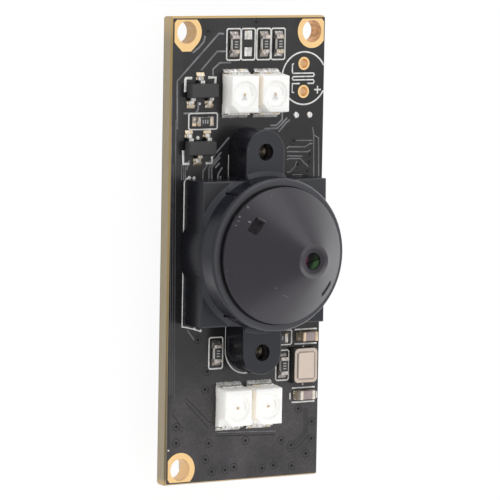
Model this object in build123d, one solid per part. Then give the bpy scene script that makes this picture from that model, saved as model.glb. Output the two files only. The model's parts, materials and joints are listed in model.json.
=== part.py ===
from build123d import *
from math import sqrt
import os

# Small board camera with a pinhole cone lens, lying on its back with the lens up.
# X runs across the board, Y along it, Z out of its front. The lens axis is X = 0, Y = 0.
# All sizes are millimetres. Heights named _z are measured from the board's front.

# Board
board_width = 16.0
board_length = 42.0
board_thickness = 1.6
score_run = 0.15
score_drop = 0.35

# Corner mounting holes; the fourth corner has none
mount_hole_d = 2.0
mount_hole_side_inset = 1.4
mount_hole_end_inset = 1.4
plating_wall = 0.08
plating_height = 0.05
mount_pad_d = 3.06
mount_pad_pullback = 0.12
mount_pad_foot = 1.7

# Microphone holes
mic_hole_d = 0.85
mic_pad_d = 1.2
mic_pad_sides = 16
mic_hole_side_inset = 2.2
mic_hole_end_inset = 5.58
mic_hole_pitch = 2.54

# Lens holder
base_side = 13.0
base_height = 3.1
barrel_r = 6.9
barrel_height = 5.6
barrel_edge_run = 0.2
barrel_edge_drop = 0.3
barrel_foot_run = 0.4
ear_pitch = 18.0
ear_r = 2.02
holder_edge = 0.1
thread_bore_r = 6.0
holder_floor_z = 2.0
holder_floor = 0.9
light_window_r = 3.6
filter_side = 8.2
filter_thickness = 0.4
filter_clearance = 0.05
sensor_room_side = 10.8
split_groove_x = 4.25
split_groove = 0.2
split_groove_gap = 0.35

# Holder screws, driven from the back
screw_r = 0.72
screw_clearance = 0.03
screw_board_clearance = 0.2
screw_length = 4.0
screw_tip_length = 0.55
screw_head_r = 1.6
screw_head_height = 1.2
screw_recess_width = 0.35
screw_recess_length = 1.7
screw_recess_depth = 0.6

# Lens barrel and cone
thread_clearance = 0.05
lens_floor_gap = 0.2
flange_r = 6.12
flange_gap = 0.26
flange_height = 0.3
cone_height = 5.12
cone_tip_r = 1.47
aperture_r = 0.75
tip_dish = 0.145
aperture_depth = 0.2
pocket_place_r = 4.74
pocket_angle = 142.0
pocket_width = 1.5
pocket_length = 0.7
pocket_depth = 0.5

# Lens elements inside the barrel
element_clearance = 0.03
element_sag = 0.15
front_element_r = 1.4
front_element_thickness = 0.9
middle_element_drop = 0.35
middle_element_r = 2.4
middle_element_thickness = 1.2
spacer_wall = 0.7
spacer_length = 0.9
rear_element_r = 4.0
rear_element_thickness = 1.5
retainer_length = 0.7
retainer_wall = 1.1

# Image sensor
sensor_x = 6.4
sensor_y = 5.4
sensor_height = 0.7
sensor_glass_inset = 0.35
sensor_glass_height = 0.4

# Light emitting diodes, two above and two below the lens
led_x = 2.8
led_y = 3.5
led_height = 1.9
led_waist = 0.85
led_top_x = 2.76
led_top_y = 3.22
led_corner_cut = 0.75
led_pitch = 3.24
led_row_y = 14.1
led_upper_row_x = 0.12
led_lower_row_x = -0.04
led_cavity_r = 1.17
led_cavity_depth = 0.65
led_resin_gap = 0.03
led_die_side = 0.3
led_die_height = 0.12
led_contact_width = 2.2
led_contact_sheet = 0.15
led_contact_foot = 0.8

# Solder
pad_height = 0.04
joint_height = 0.34
led_pad_width = 2.6
led_pad_end = 2.2
open_dot_r = 0.33
open_dot_height = 0.16
open_dot_sides = 12
open_dot_taper = 30.0
open_dot_y = 12.03
open_dot_x = [5.06, 6.5]

# Three-leg transistors
sot_length = 2.9
sot_width = 1.3
sot_height = 1.0
sot_draft = 0.09
sot_standoff = 0.08
sot_lead_width = 0.42
sot_lead_sheet = 0.12
sot_lead_reach = 0.62
sot_lead_knee = 0.18
sot_lead_foot = 0.36
sot_lead_pitch = 0.95
sot_pad_width = 0.85
sot_pad_end = 1.62
sot_parting = 0.5
transistor_places = [(-5.17, 14.43, 0), (-5.3, 9.3, 180)]

# Chip resistors and capacitors
chip_length = 1.6
chip_width = 0.82
chip_cap_length = 0.32
chip_cap_wall = 0.03
resistor_height = 0.45
capacitor_height = 0.8
chip_pad_width = 0.88
chip_pad_end = 1.15
chip_pad_start = 0.48
open_pad_start = 0.34
resistor_places = [
    (-1.68, 18.5, 90),
    (1.49, 18.5, 90),
    (3.02, 18.5, 90),
    (-4.78, 11.66, 0),
    (-3.01, -9.24, 90),
    (3.56, -8.18, 0),
    (4.08, -10.74, 90),
]
empty_chip_place = (-0.15, 18.55, 90)
capacitor_places = [(6.6, -8.14, 0), (6.42, -13.5, 0)]

# Crystal
crystal_x = 6.22
crystal_y = -10.76
crystal_width = 2.5
crystal_length = 3.2
crystal_base_height = 0.6
crystal_lid_height = 0.12
crystal_lid_inset = 0.03
crystal_corner_r = 0.4
crystal_panel_inset = 0.32
crystal_panel_rise = 0.08
crystal_panel_slope = 0.1

# Socket on the back, mouth towards the board's lower end
socket_height = 3.0
socket_width = 7.9
socket_depth = 4.2
socket_end_gap = 0.6
socket_wall = 0.55
socket_floor = 0.7
socket_roof = 0.55
socket_back_wall = 0.9
socket_pins = 4
socket_pitch = 1.25
socket_pin_side = 0.32
socket_pin_reach = 2.5
socket_tail_reach = 0.8
socket_key_width = 0.8
socket_key_spacing = 4.2
socket_tab_length = 1.9
socket_tab_sheet = 0.3
socket_tab_foot = 0.6
socket_tab_height = 1.6

# Controller chip on the back
controller_side = 7.0
controller_height = 0.85
controller_y = -1.6
controller_contacts_per_side = 8
controller_contact_pitch = 0.5
controller_contact_width = 0.24
controller_contact_length = 0.4
controller_contact_height = 0.05

# Memory chip on the back
memory_x = 3.9
memory_y = 4.9
memory_height = 1.4
memory_draft = 0.12
memory_standoff = 0.1
memory_place_y = 15.2
memory_lead_pitch = 1.27
memory_leads_per_side = 4
memory_lead_width = 0.42
memory_lead_sheet = 0.2
memory_lead_reach = 1.05
memory_lead_knee = 0.3
memory_lead_foot = 0.55

# Voltage regulator on the back
regulator_x = -5.2
regulator_y = 7.3
regulator_width = 1.6
regulator_length = 2.9
regulator_height = 1.1

# Chips on the back
back_capacitor_places = [(5.4, 7.2, 90), (5.4, 3.9, 90), (-5.6, 3.4, 90), (5.6, -7.9, 90)]
back_resistor_places = [(-5.6, -1.2, 90), (-5.6, -4.4, 90), (5.6, -4.6, 90)]

# Levels and places worked out from the sizes above
board_back = socket_height
board_front = board_back + board_thickness
socket_y = -board_length / 2 + socket_end_gap + socket_depth / 2
thread_r = thread_bore_r - thread_clearance
lens_rear_z = holder_floor_z + holder_floor + lens_floor_gap
flange_z = barrel_height + flange_gap
cone_foot_z = flange_z + flange_height
cone_tip_z = cone_foot_z + cone_height
front_element_z = cone_tip_z - tip_dish - aperture_depth
middle_element_z = front_element_z - front_element_thickness - middle_element_drop
spacer_z = middle_element_z - middle_element_thickness
rear_element_z = spacer_z - spacer_length
retainer_z = rear_element_z - rear_element_thickness


def block(x, y, z, size_x, size_y, size_z):
    """A box centred on x, y that stands on height z."""
    return Pos(x, y, z + size_z / 2) * Box(size_x, size_y, size_z)


def rod(x, y, z, radius, height):
    """A round bar that stands on height z."""
    return Pos(x, y, z + height / 2) * Cylinder(radius, height)


def turned(points):
    """A solid turned about Z from (radius, height) points."""
    return revolve(make_face(Polyline(*[(r, 0, z) for r, z in points], close=True)), Axis.Z)


def side_profile(points, width):
    """A solid of one (y, height) outline, as wide as given along X and centred on it."""
    face = make_face(Polyline(*[(0, y, z) for y, z in points], close=True))
    return extrude(face, width / 2, dir=(1, 0, 0), both=True)


def group(solids):
    """Separate solids kept in one sub-part."""
    return Compound(children=list(solids))


def on_front(solid, x=0, y=0, turn=0):
    """Place a solid, made standing on zero, on the board's front."""
    return Pos(x, y, board_front) * Rot(0, 0, turn) * solid


def on_back(solid, x=0, y=0, turn=0):
    """Place a solid, made standing on zero, upside down on the board's back."""
    return Pos(x, y, board_back) * Rot(180, 0, turn) * solid


# Places of repeated features
def mount_holes():
    x = board_width / 2 - mount_hole_side_inset
    y = board_length / 2 - mount_hole_end_inset
    return [(-x, y), (x, y), (-x, -y)]


def mic_holes():
    x = board_width / 2 - mic_hole_side_inset
    y = board_length / 2 - mic_hole_end_inset
    return [(x, y + side * mic_hole_pitch / 2) for side in (1, -1)]


def screw_places():
    return [(0, side * ear_pitch / 2) for side in (1, -1)]


def led_places():
    rows = [(led_upper_row_x, led_row_y), (led_lower_row_x, -led_row_y)]
    return [(x + side * led_pitch / 2, y) for x, y in rows for side in (-1, 1)]


# Circuit board, scored and broken at its two ends
def circuit_board():
    half = board_length / 2
    face = half - score_run
    low = board_back + score_drop
    high = board_front - score_drop
    board = side_profile([
        (face, board_back), (half, low), (half, high), (face, board_front),
        (-face, board_front), (-half, high), (-half, low), (-face, board_back),
    ], board_width)
    for x, y in mount_holes():
        board -= rod(x, y, board_back, mount_hole_d / 2 + plating_wall, board_thickness)
    for x, y in mic_holes():
        board -= rod(x, y, board_back, mic_hole_d / 2 + plating_wall, board_thickness)
    for x, y in screw_places():
        board -= rod(x, y, board_back, screw_r + screw_board_clearance, board_thickness)
    return board


# Plated holes: copper wall through the board with a pad on each face
def plated_hole(x, y, hole_d, pad_outline, clip):
    low = board_back - plating_height
    wall = rod(x, y, board_back, hole_d / 2 + plating_wall, board_thickness)
    pad = extrude(pad_outline, plating_height)
    for z in (board_front, low):
        wall += (Pos(x, y, z) * pad) & clip
    return wall - rod(x, y, low, hole_d / 2, board_thickness + 2 * plating_height)


def pad_clip():
    """The board's faces less the strip that copper keeps from every edge."""
    clear_x = board_width - 2 * mount_pad_pullback
    clear_y = board_length - 2 * (score_run + mount_pad_pullback)
    return block(0, 0, board_back - plating_height, clear_x, clear_y, board_thickness + 2 * plating_height)


def pad_foot():
    """The first pad's flat foot: two slants that leave its circle at 45 degrees, and a flat."""
    side = mount_pad_d / 2 / sqrt(2)
    flat = 2 * side - mount_pad_foot
    points = [(side, -side), (flat, -mount_pad_foot), (-flat, -mount_pad_foot), (-side, -side)]
    return make_face(Polyline(*points, close=True))


def mounting_hole_plating(number):
    x, y = mount_holes()[number]
    outline = Circle(mount_pad_d / 2)
    if number == 0:
        outline += pad_foot()
    return plated_hole(x, y, mount_hole_d, outline, pad_clip())


def microphone_hole_plating():
    clip = pad_clip()
    outline = RegularPolygon(mic_pad_d / 2, mic_pad_sides)
    return group(plated_hole(x, y, mic_hole_d, outline, clip) for x, y in mic_holes())


# Lens holder: one moulding
def holder_outline():
    """Plan of the square base with its two round ended ears."""
    plan = Rectangle(base_side, base_side)
    for side in (1, -1):
        plan += Pos(0, side * ear_pitch / 4) * Rectangle(2 * ear_r, ear_pitch / 2)
        plan += Pos(0, side * ear_pitch / 2) * Circle(ear_r)
    return plan


def barrel_foot():
    """Sloped foot where the barrel stands on the base and ears."""
    foot_r = barrel_r + barrel_foot_run
    top_z = base_height + barrel_foot_run
    return turned([(0, base_height), (foot_r, base_height), (barrel_r, top_z), (0, top_z)])


def lens_holder():
    plan = holder_outline()
    body = extrude(plan, base_height)
    body = chamfer(body.faces().sort_by(Axis.Z)[-1].outer_wire().edges(), holder_edge)
    body += turned([
        (0, 0), (barrel_r, 0), (barrel_r, barrel_height - barrel_edge_drop),
        (barrel_r - barrel_edge_run, barrel_height), (0, barrel_height),
    ])
    body += barrel_foot() & extrude(plan, base_height + barrel_foot_run)
    bore_z = holder_floor_z + holder_floor
    filter_room = filter_side + 2 * filter_clearance
    body -= block(0, 0, 0, sensor_room_side, sensor_room_side, holder_floor_z)
    body -= block(0, 0, holder_floor_z, filter_room, filter_room, filter_thickness)
    body -= rod(0, 0, holder_floor_z, light_window_r, holder_floor)
    body -= rod(0, 0, bore_z, thread_bore_r, barrel_height - bore_z)
    for x, y in screw_places():
        body -= rod(x, y, 0, screw_r + screw_clearance, base_height)
    groove_y = sqrt(barrel_r ** 2 - split_groove_x ** 2)
    groove_height = barrel_height - base_height - split_groove_gap
    groove = Rot(0, 0, 45) * block(0, 0, base_height, split_groove, split_groove, groove_height)
    for x in (split_groove_x, -split_groove_x):
        for y in (groove_y, -groove_y):
            body -= Pos(x, y, 0) * groove
    return on_front(body)


# Holder screw: pan head under the board, point up in the ear
def holder_screw(number):
    x, y = screw_places()[number]
    screw = turned([
        (0, -screw_head_height), (screw_head_r, -screw_head_height), (screw_head_r, 0), (screw_r, 0),
        (screw_r, screw_length - screw_tip_length), (0, screw_length),
    ])
    for turn in (0, 90):
        slot = block(0, 0, -screw_head_height, screw_recess_length, screw_recess_width, screw_recess_depth)
        screw -= Rot(0, 0, turn) * slot
    return Pos(x, y, board_back) * screw


# Lens barrel: thread, flange and pinhole cone turned in one piece
def lens_barrel():
    rear_bore = rear_element_r + element_clearance
    middle_bore = middle_element_r + element_clearance
    front_bore = front_element_r + element_clearance
    body = turned([
        (rear_bore, lens_rear_z), (thread_r, lens_rear_z), (thread_r, flange_z), (flange_r, flange_z),
        (flange_r, cone_foot_z), (cone_tip_r, cone_tip_z), (aperture_r, cone_tip_z - tip_dish),
        (aperture_r, front_element_z), (front_bore, front_element_z), (front_bore, middle_element_z),
        (middle_bore, middle_element_z), (middle_bore, rear_element_z), (rear_bore, rear_element_z),
    ])
    cone_drop = (pocket_place_r - cone_tip_r) * cone_height / (flange_r - cone_tip_r)
    floor_z = cone_tip_z - cone_drop - pocket_depth
    for turn in (pocket_angle, pocket_angle + 180):
        pocket = block(pocket_place_r, 0, floor_z, pocket_length, pocket_width, cone_height)
        body -= Rot(0, 0, turn) * pocket
    return on_front(body)


# Lens elements: a flat rim that seats, and a raised front face of a given radius
def lens_element(radius, face_r, top_z, thickness):
    low_z = top_z - thickness
    return on_front(turned([
        (0, low_z), (radius, low_z), (radius, top_z), (face_r, top_z),
        (face_r / 2, top_z + element_sag), (0, top_z + element_sag),
    ]))


def front_lens_element():
    face_r = aperture_r - element_clearance
    return lens_element(front_element_r, face_r, front_element_z, front_element_thickness)


def middle_lens_element():
    return lens_element(middle_element_r, front_element_r, middle_element_z, middle_element_thickness)


def rear_lens_element():
    face_r = middle_element_r - spacer_wall
    return lens_element(rear_element_r, face_r, rear_element_z, rear_element_thickness)


def element_spacer():
    ring = Circle(middle_element_r) - Circle(middle_element_r - spacer_wall)
    return on_front(Pos(0, 0, rear_element_z) * extrude(ring, spacer_length))


def lens_retaining_ring():
    ring = Circle(rear_element_r) - Circle(rear_element_r - retainer_wall)
    return on_front(Pos(0, 0, retainer_z - retainer_length) * extrude(ring, retainer_length))


# Filter and image sensor
def infrared_filter():
    return on_front(block(0, 0, holder_floor_z, filter_side, filter_side, filter_thickness))


def image_sensor():
    return on_front(block(0, 0, 0, sensor_x, sensor_y, sensor_height))


def sensor_cover_glass():
    glass_x = sensor_x - 2 * sensor_glass_inset
    glass_y = sensor_y - 2 * sensor_glass_inset
    return on_front(block(0, 0, sensor_height, glass_x, glass_y, sensor_glass_height))


# Light emitting diode: white housing, clear resin, die and two folded contacts
def led_plan(size_x, size_y):
    """Rectangle with the lower left corner cut off as the polarity mark."""
    half_x = size_x / 2
    half_y = size_y / 2
    points = [
        (half_x, half_y), (-half_x, half_y), (-half_x, -half_y + led_corner_cut),
        (-half_x + led_corner_cut, -half_y), (half_x, -half_y),
    ]
    return make_face(Polyline(*points, close=True))


def led_cavity():
    return rod(0, 0, led_height - led_cavity_depth, led_cavity_r, led_cavity_depth)


def led_housing(number):
    x, y = led_places()[number]
    foot = pad_height + led_contact_sheet
    lower = block(0, 0, foot, led_x, led_y, led_waist - foot)
    waist = Pos(0, 0, led_waist) * led_plan(led_x, led_y)
    top = Pos(0, 0, led_height) * led_plan(led_top_x, led_top_y)
    return on_front(lower + loft([waist, top]) - led_cavity(), x, y)


def led_die_solid():
    return block(0, 0, led_height - led_cavity_depth, led_die_side, led_die_side, led_die_height)


def led_resin(number):
    x, y = led_places()[number]
    top_trim = block(0, 0, led_height - led_resin_gap, led_x, led_x, led_resin_gap)
    return on_front(led_cavity() - top_trim - led_die_solid(), x, y)


def led_dies():
    return group(on_front(led_die_solid(), x, y) for x, y in led_places())


def led_contact():
    """One contact at the housing's +Y end, folded down and under it."""
    end = led_y / 2
    low = pad_height
    sheet = led_contact_sheet
    return side_profile([
        (end - led_contact_foot, low), (end + sheet, low), (end + sheet, led_waist),
        (end, led_waist), (end, low + sheet), (end - led_contact_foot, low + sheet),
    ], led_contact_width)


def led_contacts():
    return group(on_front(led_contact(), x, y, turn) for x, y in led_places() for turn in (0, 180))


# Gull wing lead from a package's side at its parting height down to its pad
def gull_lead(side, parting, sheet, reach, knee, foot, width):
    half = sheet / 2
    low = pad_height
    foot_start = side + reach - foot
    return side_profile([
        (side, parting - half), (side + knee, parting - half), (foot_start, low), (side + reach, low),
        (side + reach, low + sheet), (foot_start + half, low + sheet), (side + knee + half, parting + half),
        (side, parting + half),
    ], width)


def drafted_body(size_x, size_y, bottom, parting, top, draft):
    """Moulded package body, widest at its parting line."""
    middle = Pos(0, 0, parting) * Rectangle(size_x, size_y)
    ends = [Pos(0, 0, level) * Rectangle(size_x - 2 * draft, size_y - 2 * draft) for level in (bottom, top)]
    return loft([ends[0], middle]) + loft([middle, ends[1]])


def small_lead(side):
    """Lead of the transistors and of the regulator, towards +Y."""
    sizes = (sot_lead_sheet, sot_lead_reach, sot_lead_knee, sot_lead_foot, sot_lead_width)
    return gull_lead(side, sot_parting, *sizes)


# Three-leg transistor, two leads towards -Y and one towards +Y
def transistor_body(number):
    x, y, turn = transistor_places[number]
    top = sot_standoff + sot_height
    body = drafted_body(sot_length, sot_width, sot_standoff, sot_parting, top, sot_draft)
    return on_front(body, x, y, turn)


def transistor_lead_places():
    """X offset and turn of each lead in the package's own frame."""
    return [(0, 0), (sot_lead_pitch, 180), (-sot_lead_pitch, 180)]


def transistor_leads(number):
    x, y, turn = transistor_places[number]
    lead = small_lead(sot_width / 2)
    leads = [Pos(shift, 0, 0) * Rot(0, 0, spin) * lead for shift, spin in transistor_lead_places()]
    return group(on_front(lead, x, y, turn) for lead in leads)


# Chip resistor and capacitor: a ceramic block between two metal end caps
def chip_body(height):
    length = chip_length - 2 * chip_cap_length
    width = chip_width - 2 * chip_cap_wall
    return block(0, 0, pad_height + chip_cap_wall, length, width, height - 2 * chip_cap_wall)


def chip_caps(height):
    shift = (chip_length - chip_cap_length) / 2
    return [block(x, 0, pad_height, chip_cap_length, chip_width, height) for x in (shift, -shift)]


def resistor_body(number):
    return on_front(chip_body(resistor_height), *resistor_places[number])


def resistor_caps():
    return group(on_front(cap, *place) for place in resistor_places for cap in chip_caps(resistor_height))


def capacitor_body(number):
    return on_front(chip_body(capacitor_height), *capacitor_places[number])


def capacitor_caps():
    return group(on_front(cap, *place) for place in capacitor_places for cap in chip_caps(capacitor_height))


# Crystal: ceramic base and metal lid with a raised panel
def crystal_base():
    base = block(0, 0, pad_height, crystal_width, crystal_length, crystal_base_height - pad_height)
    return on_front(base, crystal_x, crystal_y)


def crystal_lid():
    width = crystal_width - 2 * crystal_lid_inset
    length = crystal_length - 2 * crystal_lid_inset
    lid = extrude(RectangleRounded(width, length, crystal_corner_r), crystal_lid_height)
    panel_x = width - 2 * crystal_panel_inset
    panel_y = length - 2 * crystal_panel_inset
    slope = 2 * crystal_panel_slope
    foot = Pos(0, 0, crystal_lid_height) * Rectangle(panel_x, panel_y)
    top = Pos(0, 0, crystal_lid_height + crystal_panel_rise) * Rectangle(panel_x - slope, panel_y - slope)
    lid += loft([foot, top])
    return on_front(Pos(0, 0, crystal_base_height) * lid, crystal_x, crystal_y)


# Solder: a thin pad with a sloped joint against each terminal
def joint(start, face, end, width, height):
    """Solder towards +Y: pad from start to end, sloped from the terminal's face outwards."""
    return side_profile([
        (start, 0), (end, 0), (end, pad_height), (face, pad_height + height),
        (face, pad_height), (start, pad_height),
    ], width)


def led_joints():
    face = led_y / 2 + led_contact_sheet
    start = led_y / 2 - led_contact_foot
    shape = joint(start, face, led_pad_end, led_pad_width, joint_height)
    return [on_front(shape, x, y, turn) for x, y in led_places() for turn in (0, 180)]


def transistor_joints():
    face = sot_width / 2 + sot_lead_reach
    shape = joint(face - sot_lead_foot, face, sot_pad_end, sot_pad_width, joint_height / 2)
    joints = []
    for x, y, turn in transistor_places:
        for shift, spin in transistor_lead_places():
            joints.append(on_front(Pos(shift, 0, 0) * Rot(0, 0, spin) * shape, x, y, turn))
    return joints


def chip_joint(height):
    return Rot(0, 0, 90) * joint(chip_pad_start, chip_length / 2, chip_pad_end, chip_pad_width, height)


def chip_joints(places, height):
    return [on_front(Rot(0, 0, turn) * chip_joint(height), *place) for place in places for turn in (0, 180)]


def crystal_joint():
    width = crystal_width - crystal_corner_r
    length = crystal_length - crystal_corner_r
    return on_front(block(0, 0, 0, width, length, pad_height), crystal_x, crystal_y)


def open_pads():
    """Tinned pads of the empty chip place and two filled round pads."""
    size = chip_pad_end - open_pad_start
    middle = (chip_pad_end + open_pad_start) / 2
    pads = []
    for x in (middle, -middle):
        pads.append(on_front(block(x, 0, 0, size, chip_pad_width, pad_height), *empty_chip_place))
    dot = extrude(RegularPolygon(open_dot_r, open_dot_sides), open_dot_height, taper=open_dot_taper)
    return pads + [on_front(dot, x, open_dot_y) for x in open_dot_x]


def front_solder():
    joints = led_joints() + transistor_joints() + [crystal_joint()] + open_pads()
    joints += chip_joints(resistor_places, joint_height / 2)
    joints += chip_joints(capacitor_places, joint_height)
    return group(joints)


# Socket on the back: side entry housing, square pins and two solder tabs
def pin_places():
    return [(number - (socket_pins - 1) / 2) * socket_pitch for number in range(socket_pins)]


def socket_cavity_height():
    return socket_height - socket_floor - socket_roof


def socket_pin():
    """Pin towards +Y inside the cavity, tail towards -Y folded down to the board."""
    side = socket_pin_side
    level = socket_floor + socket_cavity_height() / 2
    inner = -socket_depth / 2 + socket_back_wall
    tail = -socket_depth / 2 - side
    foot = pad_height
    return side_profile([
        (inner + socket_pin_reach, level - side / 2), (inner + socket_pin_reach, level + side / 2),
        (tail, level + side / 2), (tail, foot + side), (tail - socket_tail_reach, foot + side),
        (tail - socket_tail_reach, foot), (tail + side, foot), (tail + side, level - side / 2),
    ], side)


def socket_housing():
    body = block(0, 0, 0, socket_width, socket_depth, socket_height)
    inner = -socket_depth / 2 + socket_back_wall
    mouth = socket_depth / 2
    middle = (inner + mouth) / 2
    room_x = socket_width - 2 * socket_wall
    roof_z = socket_height - socket_roof
    body -= block(0, middle, socket_floor, room_x, mouth - inner, socket_cavity_height())
    for x in (socket_key_spacing / 2, -socket_key_spacing / 2):
        body -= block(x, middle, roof_z, socket_key_width, mouth - inner, socket_roof)
    for x in pin_places():
        body -= Pos(x, 0, 0) * socket_pin()
    return on_back(body, 0, socket_y)


def socket_pin_set():
    return group(on_back(Pos(x, 0, 0) * socket_pin(), 0, socket_y) for x in pin_places())


def socket_tab_set():
    tabs = []
    for side in (1, -1):
        wall_x = side * (socket_width + socket_tab_sheet) / 2
        foot_x = side * (socket_width / 2 + socket_tab_sheet + socket_tab_foot / 2)
        wall = block(wall_x, 0, pad_height, socket_tab_sheet, socket_tab_length, socket_tab_height)
        foot = block(foot_x, 0, pad_height, socket_tab_foot, socket_tab_length, socket_tab_sheet)
        tabs.append(on_back(wall + foot, 0, socket_y))
    return group(tabs)


# Controller chip on the back with flat contacts along its four sides
def controller_chip():
    height = controller_height - controller_contact_height
    body = block(0, 0, controller_contact_height, controller_side, controller_side, height)
    return on_back(body, 0, controller_y)


def controller_contacts():
    contacts = []
    reach = controller_side / 2 - controller_contact_length / 2
    last = (controller_contacts_per_side - 1) / 2
    width = controller_contact_width
    contact = block(reach, 0, 0, controller_contact_length, width, controller_contact_height)
    for turn in (0, 90, 180, 270):
        for number in range(controller_contacts_per_side):
            shift = (number - last) * controller_contact_pitch
            contacts.append(on_back(Rot(0, 0, turn) * Pos(0, shift, 0) * contact, 0, controller_y))
    return group(contacts)


# Memory chip on the back
def memory_parting():
    return memory_standoff + memory_height / 2


def memory_chip():
    top = memory_standoff + memory_height
    body = drafted_body(memory_x, memory_y, memory_standoff, memory_parting(), top, memory_draft)
    return on_back(body, 0, memory_place_y)


def memory_lead_places(reach):
    """Places at a distance either side of the memory chip's middle, one for each lead."""
    last = (memory_leads_per_side - 1) / 2
    rows = [memory_place_y + (number - last) * memory_lead_pitch for number in range(memory_leads_per_side)]
    return [(side * reach, y) for side in (1, -1) for y in rows]


def memory_leads():
    lead = gull_lead(memory_x / 2, memory_parting(), memory_lead_sheet, memory_lead_reach,
                     memory_lead_knee, memory_lead_foot, memory_lead_width)
    return group(on_back(Rot(0, 0, -90 * side) * lead, 0, y) for side, y in memory_lead_places(1))


# Voltage regulator on the back: three leads on one side, two on the other
def regulator_body():
    top = sot_standoff + regulator_height
    body = drafted_body(regulator_length, regulator_width, sot_standoff, sot_parting, top, sot_draft)
    return on_back(body, regulator_x, regulator_y)


def regulator_lead_places(reach):
    """Places at a distance below and above the regulator's middle, three and two."""
    lower = [(regulator_x + shift * sot_lead_pitch, regulator_y - reach) for shift in (-1, 0, 1)]
    upper = [(regulator_x + shift * sot_lead_pitch, regulator_y + reach) for shift in (-1, 1)]
    return lower + upper


def regulator_leads():
    lead = small_lead(regulator_width / 2)
    leads = []
    for x, y in regulator_lead_places(1):
        turn = 180 if y > regulator_y else 0
        leads.append(on_back(Rot(0, 0, turn) * lead, x, regulator_y))
    return group(leads)


# Chips on the back
def back_chip_bodies(places, height):
    return group(on_back(chip_body(height), *place) for place in places)


def back_chip_caps():
    caps = [on_back(cap, *place) for place in back_capacitor_places for cap in chip_caps(capacitor_height)]
    caps += [on_back(cap, *place) for place in back_resistor_places for cap in chip_caps(resistor_height)]
    return group(caps)


def back_pad(x, y, size_x, size_y):
    return on_back(block(0, 0, 0, size_x, size_y, pad_height), x, y)


def back_solder():
    """Tinned joints of the chips and thin pads under the leads on the back."""
    shape = chip_joint(joint_height / 2)
    places = back_capacitor_places + back_resistor_places
    pads = [on_back(Rot(0, 0, turn) * shape, *place) for place in places for turn in (0, 180)]
    foot_x = memory_x / 2 + memory_lead_reach - memory_lead_foot / 2
    for x, y in memory_lead_places(foot_x):
        pads.append(back_pad(x, y, 2 * memory_lead_foot, 1.5 * memory_lead_width))
    foot_y = regulator_width / 2 + sot_lead_reach - sot_lead_foot / 2
    for x, y in regulator_lead_places(foot_y):
        pads.append(back_pad(x, y, sot_pad_width, 2 * sot_lead_foot))
    tail_y = socket_y + socket_depth / 2 + socket_pin_side + socket_tail_reach / 2
    for x in pin_places():
        pads.append(back_pad(x, tail_y, 2 * socket_pin_side, 2 * socket_tail_reach - socket_pin_side))
    tab_width = socket_tab_sheet + socket_tab_foot
    tab_x = (socket_width + tab_width) / 2
    for x in (tab_x, -tab_x):
        pads.append(back_pad(x, socket_y, tab_width, 1.2 * socket_tab_length))
    return group(pads)


# Every sub-part by name
def sub_parts():
    parts = {
        "circuit_board": circuit_board(),
        "microphone_hole_plating": microphone_hole_plating(),
        "lens_holder": lens_holder(),
        "holder_screw_top": holder_screw(0),
        "holder_screw_bottom": holder_screw(1),
        "lens_barrel": lens_barrel(),
        "front_lens_element": front_lens_element(),
        "middle_lens_element": middle_lens_element(),
        "rear_lens_element": rear_lens_element(),
        "element_spacer": element_spacer(),
        "lens_retaining_ring": lens_retaining_ring(),
        "infrared_filter": infrared_filter(),
        "image_sensor": image_sensor(),
        "sensor_cover_glass": sensor_cover_glass(),
        "led_dies": led_dies(),
        "led_contacts": led_contacts(),
        "resistor_caps": resistor_caps(),
        "capacitor_caps": capacitor_caps(),
        "crystal_base": crystal_base(),
        "crystal_lid": crystal_lid(),
        "front_solder": front_solder(),
        "socket_housing": socket_housing(),
        "socket_pins": socket_pin_set(),
        "socket_tabs": socket_tab_set(),
        "controller_chip": controller_chip(),
        "controller_contacts": controller_contacts(),
        "memory_chip": memory_chip(),
        "memory_leads": memory_leads(),
        "regulator_body": regulator_body(),
        "regulator_leads": regulator_leads(),
        "back_capacitors": back_chip_bodies(back_capacitor_places, capacitor_height),
        "back_resistors": back_chip_bodies(back_resistor_places, resistor_height),
        "back_chip_caps": back_chip_caps(),
        "back_solder": back_solder(),
    }
    for number in range(len(mount_holes())):
        parts[f"mounting_hole_plating_{number + 1}"] = mounting_hole_plating(number)
    for number in range(len(led_places())):
        parts[f"led_housing_{number + 1}"] = led_housing(number)
        parts[f"led_resin_{number + 1}"] = led_resin(number)
    for number in range(len(transistor_places)):
        parts[f"transistor_body_{number + 1}"] = transistor_body(number)
        parts[f"transistor_leads_{number + 1}"] = transistor_leads(number)
    for number in range(len(resistor_places)):
        parts[f"resistor_body_{number + 1}"] = resistor_body(number)
    for number in range(len(capacitor_places)):
        parts[f"capacitor_body_{number + 1}"] = capacitor_body(number)
    return parts


os.makedirs("parts", exist_ok=True)
for name, solid in sub_parts().items():
    export_step(solid, f"parts/{name}.step")
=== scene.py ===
"""Dresses the small board camera: finishes for its solids, print, copper lines, solder and a plain studio."""
import json
from functools import cache
from math import cos, hypot, pi, radians, sin

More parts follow.
